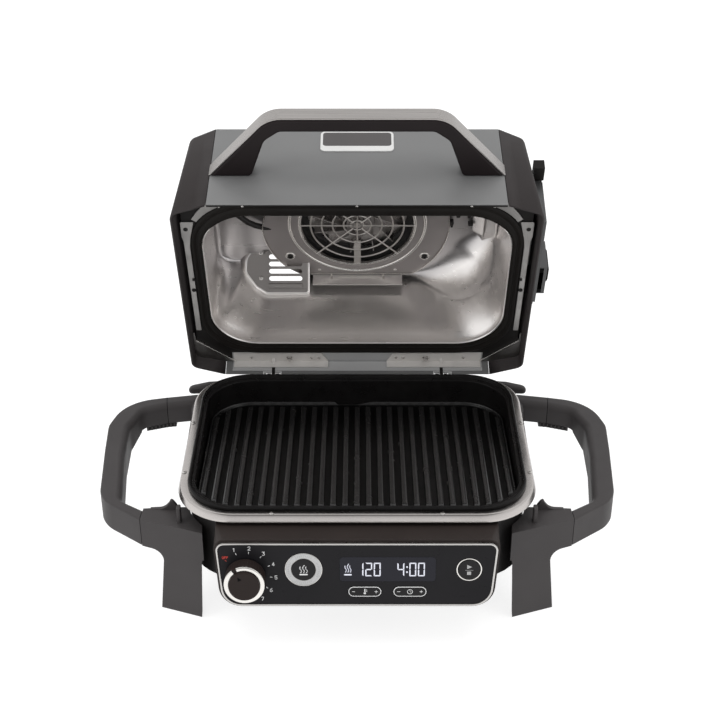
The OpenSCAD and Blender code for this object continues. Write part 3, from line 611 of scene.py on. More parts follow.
prof = [(1.5, -4), (.4, -3.7), (0, -2.8), (0, 3.5), (.3, 4.4), (1.0, 4.95), (1.9, 4.95), (2.6, 4.4), (3.0, 3.4), (3.4, 1.5), (4.3, .5), (6.0, .05)]
pan = [[notch(q) for q in rr(356 - 2 * d, 254 - 2 * d, 50 - d, z, 12, m=64)] for d, z in prof]
p.mi = 1
p.loft(pan[:10], cap1=False)
# painted shade: the floor between the ribs takes the darker copy of the coating
p.mi = 0
p.loft(pan[9:], cap0=False)
p.mi = 1
for i in range(-13, 14):
    x = i * 13.2
    h = (127 if abs(x) <= 128 else 77 + sqrt(max(0, 2500 - (abs(x) - 128) ** 2))) - 11
    sect = [(-3.55, -.5), (-3.5, 1.0), (-3.4, 3.4), (-3.1, 4.6), (-2.4, 5.25), (0, 5.5), (2.4, 5.25), (3.1, 4.6), (3.4, 3.4), (3.5, 1.0), (3.55, -.5)]
    ends = [(0, .72, .10), (.7, .86, .42), (1.8, .95, .72), (3.2, .99, .90), (5.2, 1, .985), (7.5, 1, 1)]
    rows = [(-h + e, a, b) for e, a, b in ends] + [(h - e, a, b) for e, a, b in reversed(ends)]
    p.loft([[(x + sx * a, y, sz * b if sz > 0 else sz) for sx, sz in sect] for y, a, b in rows])
p.done([GRID_GROOVE_SHADE, GRID], soft=48, replaces="grill_plate")

# ---- front legs with their arm stubs
for s, name in ((-1, "front_leg_left"), (1, "front_leg_right")):
    p = Piece(name + "_v", "base", flip(base, s))
    foot = [(176.0, -132.0), (223.6, -114.7), (219.8, -100.3), (204.0, -104.0), (189.0, -108.5), (182.5, -111.0), (178.6, -114.0), (176.6, -121.0)]
    knee = [(171.4, -133.6), (215.1, -117.8), (218.4, -92.6), (206.0, -94.0), (192.0, -96.0), (185.0, -99.0), (178.5, -109.0), (173.0, -120.0)]
    arm = [(169.2, -134.4), (240.7, -108.4), (239.2, -88.8), (205.0, -86.2), (188.6, -86.2), (184.6, -98.6), (178.0, -109.6), (170.2, -119.8)]
    rows = [(z, [mix(a, b, (z - 3) / 81) for a, b in zip(foot, knee)]) for z in (.4, 20, 40, 60, 71)]
    k71 = rows[-1][1]
    for t in (15, 30, 45, 60, 75, 88):
        f = .52 * (1 - cos(radians(t)))
        rows.append((71 + 13 * sin(radians(t)), [mix(a, b, f) for a, b in zip(k71, arm)]))
    rows += [(84.4, arm), (122, arm)]
    p.loft([at_z(q, z) for z, q in rows])
    p.done(LEG, 1.5, 3, angle=28, soft=32, replaces=name)
    # post under the ring and the small fin at the back edge of the arm
    p = Piece(name + "_fin_v", "base", flip(base, s))
    p.slab([q[:2] for q in rr(4.6, 9, 1.6, 0, 5, 196.4, -111.5)], 118, 141.5, .9, 0)
    fin = arcs([(231, 119), (231, 122.3), (219, 122.9), (213.5, 125.6), (209.8, 130.2), (207.6, 134.6), (204.6, 132.6), (201.2, 127), (199.6, 119)], [0, 0, 12, 9, 10, 1.4, 4, 8, 0], 5)
    p.fn = flip(lambda q: base((q[0], q[2], q[1])), s)
    p.slab(fin, -91.5, -86.4, .7, .7)
    p.done(LEG, 0, slot="leg_plastic")

# ---- side handles
for s, name in ((-1, "side_handle_left"), (1, "side_handle_right")):
    p = Piece(name + "_v", "base", flip(base, s))
    out = arcs([(241.2, -108.2), (292, -69), (300.6, 30), (303.9, 80), (290, 132), (242, 143), (200.5, 150.7)], [0, 45, 0, 40, 56, 30, 0], 12, closed=False)
    inn = arcs([(239.7, -88.7), (266, -72), (276, 20), (278, 78), (266, 114), (238, 124), (200.5, 130.9)], [0, 16, 0, 24, 16, 20, 0], 12, closed=False)

    def section(o, i, grow=0.0):
        w = hypot(i[0] - o[0], i[1] - o[1])
        e = ((i[0] - o[0]) / w, (i[1] - o[1]) / w)
        zb = 84 + 9.6 * smooth(((o[1] + i[1]) / 2 - 92) / 16)
        sec = [(2.4, zb), (.9, zb + .7), (0, zb + 2.4)]
        sec += [(2.6 * (1 - cos(radians(a))), 122 - 2.6 * (1 - sin(radians(a)))) for a in (0, 30, 60, 90)]
        ri = min(9.0, w * .42)
        sec += [(w - ri * (1 - sin(radians(a))), 122 - ri * (1 - cos(radians(a)))) for a in (0, 15, 30, 45, 60, 75, 90)]
        sec += [(w, zb + 2.4), (w - .9, zb + .7), (w - 2.4, zb)]
        if grow:
            mu, mz = w / 2, (zb + 122) / 2
            sec = [(u + grow * (1 if u > mu else -1), z + grow * (1 if z > mz else -1)) for u, z in sec]
        return [(o[0] + e[0] * u, o[1] + e[1] * u, z) for u, z in sec]

    p.loft([section(o, i) for o, i in zip(out, inn)])
    p.done(LEG, .6, 2, angle=50, soft=40, replaces=name)
    # dark joint line where the grip meets the rear arm
    p = Piece(name + "_joint_v", "base", flip(base, s))
    p.loft([section((239.3 + d, 143.5 - .18 * d), (237.2 + d, 124.15 - .18 * d), .12) for d in (0, .7)])
    p.done(DARK, slot="leg_plastic")
    # ribbed hollow under the rear arm
    p = Piece(name + "_ribs_v", "base", flip(base, s))

    def under(x):
        return 129.8 - (x - 200.5) * .185 if x < 238 else 123.0 - (x - 238) * .34

    for k in range(8):
        x = 230 + 4.6 * k
        p.box(x - .9, x + .9, under(x) + .7, under(x) + 12.4, 89.0, 94.5)
    web = [(x, under(x)) for x in (228, 233, 238, 250, 264)]
    # painted shade: a near-black block behind the rib ends, in the shell plastic instead of the handle's own, stands
    # for the dark hollow between them
    p.mi = 1
    p.loft([[(x, y + 1.9, 88.4), (x, y + 12.6, 88.4), (x, y + 12.6, 94.6), (x, y + 1.9, 94.6)] for x, y in web])
    p.done([LEG, SHELL], .25, 1, slot="leg_plastic")
    # boss where the rear arm meets the tub
    p = Piece(name + "_boss_v", "base", flip(base, s))
    p.slab(arcs([(190, 108), (203, 103), (207.5, 118), (207.5, 138), (190, 140)], [2, 7, 8, 4, 2], 5), 90, 119.5, 3.2, 1.0, 4)
    p.done(LEG, soft=50, slot="leg_plastic")

# ================================================================ control panel
refine("panel_housing", HOUSE, 1.6, 3)
paint("control_board", BOARD)
paint("encoder", BRACK)
paint("knob_shaft", BRACK)
FACE = arcs([(151, 0), (-151, 0), (-144.5, -76), (144.5, -76)], [9, 9, 22, 22], 10)
KNOB_AT, FLAV, START, TEMP, TIME = (-119, -38.5), (-57, -31.5), (120, -31.5), (8.5, -58.5), (57, -58.5)
WIN = (32.9, -31.4, 103.2, 29.8)

p = Piece("panel_frame_v", "base", panel)
p.loft([at_z(inset(FACE, d) if d else FACE, z) for d, z in ((0, -3.2), (0, .35), (.2, .68), (.6, .82), (1.5, .82), (1.9, .68), (2.1, .35), (2.1, -3.2))], ring=True)
p.done(FRAMET, soft=45, replaces="panel_frame")

p = Piece("panel_fascia_v", "base", panel)
holes = [ring2(8, 40, *KNOB_AT), ring2(13.4, 56, *FLAV), ring2(12.4, 56, *START), [q[:2] for q in rr(WIN[2], WIN[3], 4.2, 0, 6, WIN[0], WIN[1])]]
holes += [[(q[0] + a[0], q[1] + a[1]) for q in pill(36.8, 13.4)] for a in (TEMP, TIME)]
p.flat(inset(FACE, 2.15), holes, -3, 0)
p.done(GLOSS, .12, 2, angle=40, replaces="panel_fascia", weighted=True)

p = Piece("display_lens_v", "base", panel)
p.slab([q[:2] for q in rr(WIN[2] - .3, WIN[3] - .3, 4.05, 0, 8, WIN[0], WIN[1])], -3, .2, .25)
p.done(LENS, replaces="display_lens")

p = Piece("button_rings_v", "base", panel)
p.revolve([(13.45, -.2), (13.45, .35), (13.7, .6), (14.1, .66), (18.6, .66), (18.6, .8), (19.0, .9), (19.35, .7), (19.4, -.2)], 72, *FLAV, ring=True)
p.mi = 1
p.revolve([(12.45, -.2), (12.45, .45), (12.7, .6), (13.3, .6), (13.6, .4), (13.6, -.2)], 64, *START, ring=True)
p.revolve([(19.35, -.1), (19.35, .6), (19.6, .75), (19.95, .6), (20.0, -.1)], 72, *FLAV, ring=True)
p.revolve([(13.0, -.1), (13.0, .5), (13.25, .72), (13.5, .5), (13.5, -.1)], 72, *FLAV, ring=True)
p.mi = 2
# plain tick pattern on the pale ring, where the object has writing
for k in range(48):
    a = radians(7.5 * k)
    if k % 12 in (5, 6, 7):
        continue
    q = [(FLAV[0] + r * cos(a + t), FLAV[1] + r * sin(a + t)) for r, t in ((15.4, -.022), (17.2, -.022), (17.2, .022), (15.4, .022))]
    p.loft([at_z(q, .6), at_z(q, .72)])
p.done([RINGPALE, TRIM, PRINT], replaces="button_rings")

for name, at, r in (("flavour_button", FLAV, 13), ("start_button", START, 12)):
    p = Piece(name + "_v", name, moved(panel, *at))
    p.revolve([(r - .6, -2.5), (r, -2.2), (r, .6), (r - .25, .98), (r - .9, 1.15), (r - 2.4, 1.2)], 64)
    p.mi = 1
    if name == "flavour_button":
        # three rising smoke lines over a bar
        for k in (-1, 0, 1):
            p.line([(k * 3.1 + .9 * sin(t * 1.05), -3.4 + t * 1.28) for t in [i * .5 for i in range(15)]][: 15 if k == 0 else 12], .95, 1.15, 1.34)
        p.slab([q[:2] for q in rr(9.0, 1.5, .7, 0, 4, 0, -5.6)], 1.15, 1.34, .08)
    else:
        p.slab([(-2.4, 1.0), (2.8, 3.6), (-2.4, 6.2)][::-1][::-1], 1.15, 1.3)
        p.slab([q[:2] for q in rr(4.4, 4.0, .4, 0, 3, -.2, -4.0)], 1.15, 1.3)
        p.slab([q[:2] for q in rr(8.5, .35, .15, 0, 2, 0, -.4)], 1.15, 1.28)
    p.done([KEY, PRINTW if name == "flavour_button" else PRINT], replaces=name)

for name, at in (("temp_rocker", TEMP), ("time_rocker", TIME)):
    p = Piece(name + "_v", name, moved(panel, *at))
    p.slab(pill(35.6, 12.2, 12), -2.5, .6, .35)
    p.mi = 1
    L = pill(35.4, 12.0, 12)
    p.loft([at_z(q, z) for q, z in ((L, .45), (inset(L, .1), .68), (inset(L, .75), .68), (inset(L, .85), .45))], ring=True)
    p.mi = 2
    p.line([(-13.6, 0), (-10.6, 0)], .5, .55, .7)
    p.line([(10.6, 0), (13.6, 0)], .5, .55, .7)
    p.line([(12.1, -1.5), (12.1, 1.5)], .5, .55, .7)
    if name == "temp_rocker":
        p.loft([at_z(ring2(1.25, 20, 0, -1.9), z) for z in (.55, .7)])
        p.slab([q[:2] for q in rr(1.1, 5.2, .5, 0, 4, 0, .9)], .55, .7)
        for k in range(3):
            p.line([(1.3, .1 + 1.2 * k), (2.5, .1 + 1.2 * k)], .35, .55, .7)
    else:
        p.revolve([(2.45, .55), (2.45, .7), (2.95, .7), (2.95, .55)], 28, ring=True)
        p.line([(0, 0), (0, 1.9)], .42, .55, .7)
        p.line([(0, 0), (1.3, -.5)], .42, .55, .7)
    p.done([KEY, PRINTW, PRINTW], replaces=name)

# ---- display digits, dial numbers and ticks
SEG = {"0": "abcdef", "1": "bc", "2": "abged", "4": "fgbc"}


def digit(p, ch, x, y, w, h, t, z0, z1):
    g, m = .22, y + h / 2
    q = {
        "a": [(x + g, y + h), (x + t + g, y + h - t), (x + w - t - g, y + h - t), (x + w - g, y + h)],
        "d": [(x + g, y), (x + w - g, y), (x + w - t - g, y + t), (x + t + g, y + t)],
        "g": [(x + t * .5 + g, m), (x + t + g, m - t / 2), (x + w - t - g, m - t / 2), (x + w - t * .5 - g, m), (x + w - t - g, m + t / 2), (x + t + g, m + t / 2)],
        "f": [(x, y + h - g), (x, m + g), (x + t * .5, m + g), (x + t, m + t / 2 + g), (x + t, y + h - t - g)],
        "e": [(x, m - g), (x, y + g), (x + t, y + t + g), (x + t, m - t / 2 - g), (x + t * .5, m - g)],
        "b": [(x + w, m + g), (x + w, y + h - g), (x + w - t, y + h - t - g), (x + w - t, m + t / 2 + g), (x + w - t * .5, m + g)],
        "c": [(x + w, y + g), (x + w, m - g), (x + w - t * .5, m - g), (x + w - t, m - t / 2 - g), (x + w - t, y + t + g)],
    }
    for k in SEG[ch]:
        p.loft([at_z(q[k], z0), at_z(q[k], z1)])


p = Piece("display_digits_v", "base", panel)
y0 = -39.7
for ch, x in (("1", -.4), ("2", 8.9), ("0", 18.0), ("4", 43.2), ("0", 56.0), ("0", 65.2)):
    digit(p, ch, x, y0, 7.4, 16.4, 1.35, .18, .30)
for dy in (4.4, 10.6):
    p.loft([at_z([q[:2] for q in rr(1.7, 1.9, .4, 0, 3, 53.5, y0 + dy + .6)], z) for z in (.18, .30)])
# a plain smoke symbol where the object shows its own sign
for k in (-1, 0, 1):
    p.line([(-9.6 + k * 2.5 + .75 * sin(t * 1.1), y0 + 5.0 + t * 1.5) for t in [i * .5 for i in range(14 if k == 0 else 11)]], .95, .18, .30)
p.slab([q[:2] for q in rr(8.2, 1.7, .8, 0, 4, -9.6, y0 + 1.8)], .18, .30, .05)
p.done(GLOW, slot="lens")

GLYPH = {
    "1": [[(.1, .8), (.34, 1), (.34, 0)]],
    "2": [[(0, .78), (.12, 1), (.48, 1), (.6, .8), (.58, .6), (0, 0), (.62, 0)]],
    "3": [[(0, 1), (.6, 1), (.26, .58), (.5, .53), (.6, .36), (.58, .12), (.42, 0), (.12, 0), (0, .12)]],
    "4": [[(.44, 0), (.44, 1), (0, .3), (.64, .3)]],
    "5": [[(.58, 1), (.06, 1), (0, .55), (.4, .6), (.6, .42), (.58, .14), (.42, 0), (.1, 0), (0, .1)]],
    "6": [[(.5, 1), (.16, .7), (0, .34), (.06, .08), (.2, 0), (.44, 0), (.6, .16), (.58, .4), (.44, .54), (.16, .54), (0, .34)]],
    "7": [[(0, 1), (.6, 1), (.2, 0)]],
    "O": [[(0, .2), (0, .8), (.15, 1), (.45, 1), (.6, .8), (.6, .2), (.45, 0), (.15, 0), (0, .2)]],
    "F": [[(0, 0), (0, 1), (.55, 1)], [(0, .54), (.45, .54)]],
}


def write(p, text, cx, cy, h, w, z0, z1):
    x = cx - len(text) * h * .42
    for ch in text:
        for st in GLYPH[ch]:
            p.line([(x + a * h, cy - h / 2 + b * h) for a, b in st], w, z0, z1)
        x += h * .84


p = Piece("dial_marks_v", "base", panel)
for k in range(8):
    a = radians(-50 + 29 * k)
    u = (sin(a), cos(a))
    p.mi = 1 if k == 0 else 0
    p.line([(KNOB_AT[0] + u[0] * 26.3, KNOB_AT[1] + u[1] * 26.3), (KNOB_AT[0] + u[0] * 28.3, KNOB_AT[1] + u[1] * 28.3)], .6, -.02, .1)
    if k == 0:
        write(p, "OFF", KNOB_AT[0] + u[0] * 33.0 + 4.2, KNOB_AT[1] + u[1] * 33.0, 2.7, .62, -.02, .1)
    else:
        write(p, str(k), KNOB_AT[0] + u[0] * 32.6 + (3.2 if k == 7 else .4), KNOB_AT[1] + u[1] * 32.6, 4.0, .6, -.02, .1)
p.done([PRINTW, RED], slot="panel_gloss")

# ---- knob: dark skirt, thin bright ring with a notch, domed face with a thin near-black triangle as painted shade of the pointer recess
p = Piece("knob_v", "knob", moved(panel, *KNOB_AT))
p.revolve([(19.0, 3), (20.9, 3.1), (21.5, 3.6), (21.6, 4.4), (21.6, 18.9), (21.3, 19.3), (19, 19.4)], 96)
p.revolve([(16.75, 18.5), (16.75, 24.0), (16.5, 24.6), (15.8, 24.95), (14.6, 25.0), (8, 24.8)], 80)
for k in range(40):
    a = radians(9 * k)
    q = [(21.2 * cos(a - .02), 21.2 * sin(a - .02)), (21.85 * cos(a - .012), 21.85 * sin(a - .012)), (21.85 * cos(a + .012), 21.85 * sin(a + .012)), (21.2 * cos(a + .02), 21.2 * sin(a + .02))]
    p.loft([at_z(q, 5.5), at_z(q, 17.5)])
na = radians(120)
u = (cos(na), sin(na))
q = [(u[0] * r - u[1] * t, u[1] * r + u[0] * t) for r, t in ((16.6, -1.9), (21.5, -2.2), (21.5, 2.2), (16.6, 1.9))]
p.loft([at_z(q, 19.0), at_z(q, 21.3)])
# painted shade: the pointer recess is drawn as a thin near-black triangle laid on the face
p.mi = 1
q = [(u[0] * r - u[1] * t, u[1] * r + u[0] * t) for r, t in ((13.4, 0), (8.6, -2.1), (8.6, 2.1))]
p.loft([at_z(q, 24.7), at_z(q, 25.06)])
p.done([KNOB, DARK], soft=40, replaces="knob")
p = Piece("knob_ring_v", "knob", moved(panel, *KNOB_AT))
p.revolve([(16.85, 19.4), (16.85, 21.5), (17.2, 21.95), (18.0, 22.0), (20.4, 22.0), (21.2, 21.75), (21.6, 21.1), (21.75, 20.3), (21.6, 19.4)], 92, ring=True, a0=127, a1=473)
p.done(TRIM, soft=45, replaces="knob_ring")

# ================================================================ lid outside
refine("lid_skin", SKIN, .35, 2)

# ---- end caps: shell with a rounded outer edge and a fine joint to the skin
OUTL = [(-151, 146), (-124.46, 296.5), (-72, 326), (-24, 334), (52, 334), (146, 254), (150.6, 232), (150, 142)]
CAPL = [(-136, 146), (-121, 283), (-70, 310), (-22, 317), (46, 317), (130, 243), (139.6, 222), (140, 146)]
CD, SD = cos(radians(4.6)), sin(radians(4.6))


def slant(y, z):
    return (208 - (z - 146) * SD, y, 146 + (z - 146) * CD)


for s, name in ((-1, "end_cap_left"), (1, "end_cap_right")):
    p = Piece(name + "_v", "lid", flip(lid, s))
    a = arcs(OUTL, [0, 10, 40, 60, 30, 22, 20, 0], 8, closed=False)
    b = arcs(CAPL, [0, 9, 34, 50, 28, 20, 18, 0], 8, closed=False)
    low = [(b[0][0], 137)] + b[1:-1] + [(b[-1][0], 137)]
    face = inset(low[::-1], 9.0)[::-1]
    mid0 = [(166.35, q[0], q[1]) for q in a]
    seam = [(166.35, q[0] * .9965, q[1] - (.6 if q[1] > 200 else 0)) for q in a]
    outer = [slant(*q) for q in b]
    flatl = [slant(*q) for q in face]
    rows = [seam, [mix(m, o, .012) for m, o in zip(mid0, outer)], [mix(m, o, .4) for m, o in zip(mid0, outer)]]
    for u in (0, .12, .25, .4, .55, .7, .85, 1):
        rows.append([mix(mix(mix(m, o, .79), o, u), mix(o, f, u), u) for m, o, f in zip(mid0, outer, flatl)])
    L = [p.loop(q) for q in rows]
    for q, r in zip(L, L[1:]):
        p.bridge(q, r, False)
    if s > 0:
        hole = [q[:2] for q in rr(69, 57, 3, 0, 4, -50, 206)]
        p.fill([face, hole], [L[-1], p.loop([slant(*q) for q in hole])])
    else:
        p.fill([face], [L[-1]])
    p.orient(flip(lid, s)((100, 0, 200)))
    p.done(CAP, soft=42, replaces=name, thick=-2.6, weighted=False)

# ---- carrier frame, black at the sides and front, grey strip behind the seal, strip in the front hem
p = Piece("lid_frame_v", "lid", lid)
outer = [(-160, -145.5), (160, -145.5), (198.5, -130.5), (200, 132), (160, 144.5), (-160, 144.5), (-200, 132), (-198.5, -130.5)]
p.flat(outer, [[q[:2] for q in rr(362, 237, 59, 0, 12, 0, -3.5)]], 163, 164.4)
p.slab([(-165.8, -149.4), (165.8, -149.4), (165.8, -147.0), (-165.8, -147.0)], 146.2, 147.4)
p.mi = 1
p.loft([[(x, 131.4, 162.95), (x, 147.6, 162.8), (x, 148.5, 162.0), (x, 148.7, 160), (x, 148.7, 146.5), (x, 149.6, 146.5), (x, 149.6, 164), (x, 131.4, 164)] for x in (-158, 158)])
p.done([BLACK, HEMGREY], .2, replaces="lid_frame")
refine("lid_handle", HANDLE, 2.4, 4)
refine("handle_strap", STRAP, .6, 3)

p = Piece("badge_plate_v", "lid", moved(wall, 0, 124))
p.slab([q[:2] for q in rr(85, 41, 6, 0, 8)], .03, 1.2, .45)
L = [q[:2] for q in rr(85, 41, 6, 0, 8)]
p.mi = 1
p.slab([q[:2] for q in rr(79.5, 27.6, 4, 0, 8, 0, 3.8)], 1.1, 1.34, .1)
p.done([PLATEL, PLATED], soft=40, replaces="badge_plate")

# ================================================================ lid inside
# ---- two-lobed seal
p = Piece("lid_seal_v", "lid", lid)
prof = [(0, 163), (0, 161.9), (.05, 161.15), (.15, 160.72), (.27, 160.75), (.37, 161.2), (.43, 161.9), (.49, 162.15), (.56, 161.75), (.64, 160.98), (.75, 160.66), (.88, 160.75), (.96, 161.25), (1, 162), (1, 163)]
p.loft([[(q[0], q[1] + 3.4 * smooth((-q[1] - 78) / 30) * (1 - smooth(t / .35)), q[2]) for q in rr(358 + 25 * t, 233 + 36 * t, 57 + 11 * t, z, 16, 0, -3.5)] for t, z in prof], ring=True)
p.done(SEAL, soft=60, replaces="lid_seal")

# ---- pressed liner: deep ceiling, raised swell along the right rear, squarish pocket on the left


def ray(th, w, d, r):
    """distance from the middle to the edge of a rounded rectangle"""
    c, s = abs(cos(th)), abs(sin(th))
    hx, hy = w / 2, d / 2
    t = min(hx / max(c, 1e-9), hy / max(s, 1e-9))
    if t * c > hx - r and t * s > hy - r:
        cx, cy = hx - r, hy - r
        b = c * cx + s * cy
        t = b + sqrt(max(0, b * b - (cx * cx + cy * cy - r * r)))
    return t


p = Piece("lid_liner_v", "lid", lid)
NA = 480
ANG = [2 * pi * i / NA for i in range(NA)]
CEIL = arcs([(172, -113), (172, 101), (-112, 101), (-141, 77), (-177, 77), (-177, -113)], [50, 84, 24, 18, 26, 50], 14)
ZD = 267.5


def swell(x, y):
    return smooth((x - 62) / 76) * smooth((y + 4) / 56)


def ceiling(x, y, d):
    """flat, with a small fillet to the walls that widens to a deep one in the right rear corner"""
    a = swell(x, y)
    R = 6 + 46 * a
    if d >= R:
        return ZD
    return ZD - (6 + 48 * a) * (1 - sqrt(max(0, 1 - ((R - d) / R) ** 2)))


rows, rim = [], []
RC = [cast(th, CEIL) for th in ANG]
RR = [ray(th, 354, 229, 56.6) for th in ANG]
for k in range(29):
    t = 1 - (1 - k / 28) ** 1.7
    lp = []
    for th, rc in zip(ANG, RC):
        r0 = min(100, 80 / max(abs(sin(th)), 1e-6))
        q = r0 + (rc - r0) * t
        x, y = q * cos(th), q * sin(th)
        d = gap(x, y, CEIL) if k < 28 else 0.0
        lp.append((x, y, ceiling(x, y, d)))
    rows.append(lp)
edge = rows[-1]
for k in range(1, 15):
    s = (k / 14) ** 1.25
    lp = []
    for th, e, r in zip(ANG, edge, RR):
        a = swell(e[0], e[1])
        w = .28 + .42 * smooth((e[0] + 130) / 70) * smooth(e[1] / 60) * (1 - a)
        w *= 1 - .7 * a
        g = (1 - w) * s ** (.62 + .6 * a) + w * s ** 6
        f = (r * cos(th), r * sin(th) - 3.5, 166)
        lp.append((e[0] + (f[0] - e[0]) * g, e[1] + (f[1] - e[1]) * g, e[2] + (f[2] - e[2]) * s))
    rows.append(lp)
for w, d, r, z in ((354.3, 229.3, 56.7, 163.6), (355.0, 230.0, 57, 162.3), (356.2, 231.2, 57.4, 161.7), (357.4, 232.4, 57.8, 162.1), (358.2, 233.2, 58, 163.3), (358.6, 233.6, 58, 164.6)):
    rows.append([(ray(th, w, d, r) * cos(th), ray(th, w, d, r) * sin(th) - 3.5, z) for th in ANG])
p.loft(rows, cap0=False, cap1=False)
# the vent's duct leaves through the ceiling behind the louvre
gone = []
for f in p.bm.faces:
    c = f.calc_center_median() * 1000
    a, b = c.y + 48 - 157.2, c.z - 135.7
    y, z = 157.2 + a * C69 - b * S69, 135.7 + a * S69 + b * C69
    q = (y - 61.5) * .6653 - (z - 269.2) * .7465
    if -118 < c.x < -64 and -2 < q < 50 and z > 222:
        gone.append(f)
bmesh.ops.delete(p.bm, geom=gone, context="FACES")
p.orient(lid((0, 0, 215)))
p.done(LINER, soft=50, replaces="lid_liner", thick=.9, weighted=False)

# ---- fan plate, beads, bolts
p = Piece("fan_plate_v", "lid", lid)
disc = []
for i in range(140):
    a = 2 * pi * i / 140
    R = 114 + 4.5 * smooth((-cos(a) - .55) / .3) * smooth((sin(a) + .3) / .5)
    x, y = R * cos(a), R * sin(a)
    disc.append((x, max(-90, min(89.6, y))))
p.flat(disc, [ring2(69, 96)], 259.2, 260.6)
p.done(FANP, .3, 2, angle=40, replaces="fan_plate")
# painted highlight: the beads and the lip round the plate take the brighter trim steel instead of the plate's own
p = Piece("fan_plate_beads_v", "lid", lid)
p.revolve([(86.0, 259.3), (85.4, 257.9), (84.2, 257.1), (82.8, 257.2), (81.8, 258.1), (81.4, 259.3)], 120, ring=True)
p.revolve([(73.4, 259.3), (73.0, 257.6), (72.0, 256.8), (70.8, 256.8), (69.6, 257.4), (68.8, 260.9)], 120, ring=True)
lip = inset(disc, 0)
p.loft([at_z(q, z) for q, z in ((disc, 260.5), (disc, 257.2), (inset(disc, .3), 256.8), (inset(disc, 1.0), 256.8), (inset(disc, 1.3), 257.2), (inset(disc, 1.3), 260.5))], ring=True)
p.done(TRIM, soft=50, slot="liner_steel")
p = Piece("fan_plate_bolts_v", "lid", lambda q: lid((q[0], q[1], 259.2 - q[2])))
for sx in (-1, 1):
    for y in (-57, 57):
        p.mi = 0
        p.revolve([(6.4, 0), (6.4, .8), (5.9, 1.2), (4.6, 1.2), (4.2, .5)], 32, sx * 84.5, y)
        p.mi = 1
        p.screw(sx * 84.5, y, .4, 3.6, 2.4, 12, "hex")
    p.mi = 0
    p.screw(sx * 48, 83.0, 0, 2.2, .9, 30)
p.done([TRIM, ELEM], slot="bracket_steel")

# ---- wire guard
p = Piece("fan_guard_v", "lid", lid)
for R in (8, 17, 30.5, 44, 57.5, 70.6):
    p.tube([(R * cos(2 * pi * i / 72), R * sin(2 * pi * i / 72), 258.2) for i in range(72)], 1.25, 8, closed=True)
for k in range(8):
    a = 2 * pi * k / 8
    if k in (2, 6):
        continue
    p.tube([(R * cos(a), R * sin(a), 257.4) for R in (6.5, 26, 50, 71.5)], 1.1, 8)
for sy in (-1, 1):
    p.loft([[(-4.2, sy * y, z), (4.2, sy * y, z), (4.2, sy * y, z + 1.5), (-4.2, sy * y, z + 1.5)] for y, z in ((27, 257.6), (50, 257.6), (72.5, 257.6))])
p.tube([(0, y, 257.4) for y in (-27, 0, 27)], 1.1, 8)
p.revolve([(4.5, 257.0), (4.5, 258.6), (2, 259)], 24)
p.done(WIRE, soft=60, replaces="fan_guard")
refine("fan_shroud", MOTOR, 0)
refine("fan_impeller", BLADE, .25, 1)
paint("fan_motor", MOTOR)
paint("fan_shaft", BRACK)
# ---- heater ring behind the plate and its lead in the left pocket
p = Piece("heating_element_v", "lid", lid)
p.tube([(81 * cos(radians(215 + 340 * i / 90)), 81 * sin(radians(215 + 340 * i / 90)), 266.4) for i in range(91)], 3.3, 12)
lead = [(-172, -47, 262.5), (-162, -36, 261.0), (-152, -24.5, 259.6), (-145.7, -17.1, 259.0), (-140.3, -10.8, 259.0), (-134.8, -4.6, 259.2), (-126.3, 1.8, 259.8), (-117.7, 6.2, 261.0), (-108, 8.4, 262.6), (-96, 9.0, 264.2)]
p.tube(lead, 3.7, 14)
p.done(ELEM, soft=60, replaces="heating_element")
refine("exhaust_duct", LINER, .2, 1)
refine("air_deflector", LINER, .4, 2)
p = Piece("air_deflector_ribs_v", "lid", lid)
for x in (-33, 33):
    p.loft([[(x - 1.2, y, z), (x, y - .9, z - .3), (x + 1.2, y, z)] for y, z in ((90.0, 257), (90.0, 249.5))])
p.done(WIRE, slot="liner_steel")

# ---- louvre pan with its slots, flared border, ledge under the slots
p = Piece("vent_louvre_v", "lid", louvre)
pan = arcs([(-126, -11.8), (-140.5, 8.4), (-141.5, 24.9), (-128, 43), (-115, 51), (-62, 51), (-62, -11.8)][::-1], [3, 4, 8, 10, 12, 14, 3], 6)
slots = [[(q[0] - 91, q[1] + 5.6 + 9.2 * i) for q in pill(42, 5.8, 8)] for i in range(4)]
p.flat(pan, slots, -.7, .7)
p.done(LOUV, .2, 2, angle=40, replaces="vent_louvre")
p = Piece("vent_louvre_edge_v", "lid", louvre)
prof = [(.8, .75), (.3, 1.1), (-.8, 1.15), (-2.2, .5), (-4.2, -1.4), (-6.6, -4.6), (-9.2, -8.6), (-12.4, -12.4), (-16.5, -15.0), (-16.5, -15.9), (-12.0, -13.4), (-8.4, -9.4), (-5.6, -5.2), (-3.4, -2.2), (-1.4, -.7), (.8, -.7)]
p.loft([[(min(q[0], -60.5), q[1], z) for q in inset(pan, d)] for d, z in prof], ring=True)
p.mi = 1
p.slab(arcs([(-113.6, -1.5), (-112.3, -1.5), (-112.3, 47.6), (-113.6, 47.6)][::1], .3, 2), .6, 1.9, .2)
p.slab([(-112.3, 39.6), (-69.5, 39.6), (-69.5, 44.6), (-112.3, 44.6)], .6, 2.6, .5)
p.slab([(-113.6, 46.2), (-64.5, 46.2), (-64.5, 50.4), (-113.6, 50.4)], .6, 1.5, .3)
p.done([LINER, LOUV], soft=45, slot="liner_steel")
p = Piece("vent_louvre_screws_v", "lid", louvre)
for w in (.8, 32.6):
    p.screw(-122.3, w, .6, 2.9, 1.6, 30)
p.done(SCREW, slot="screw_steel")

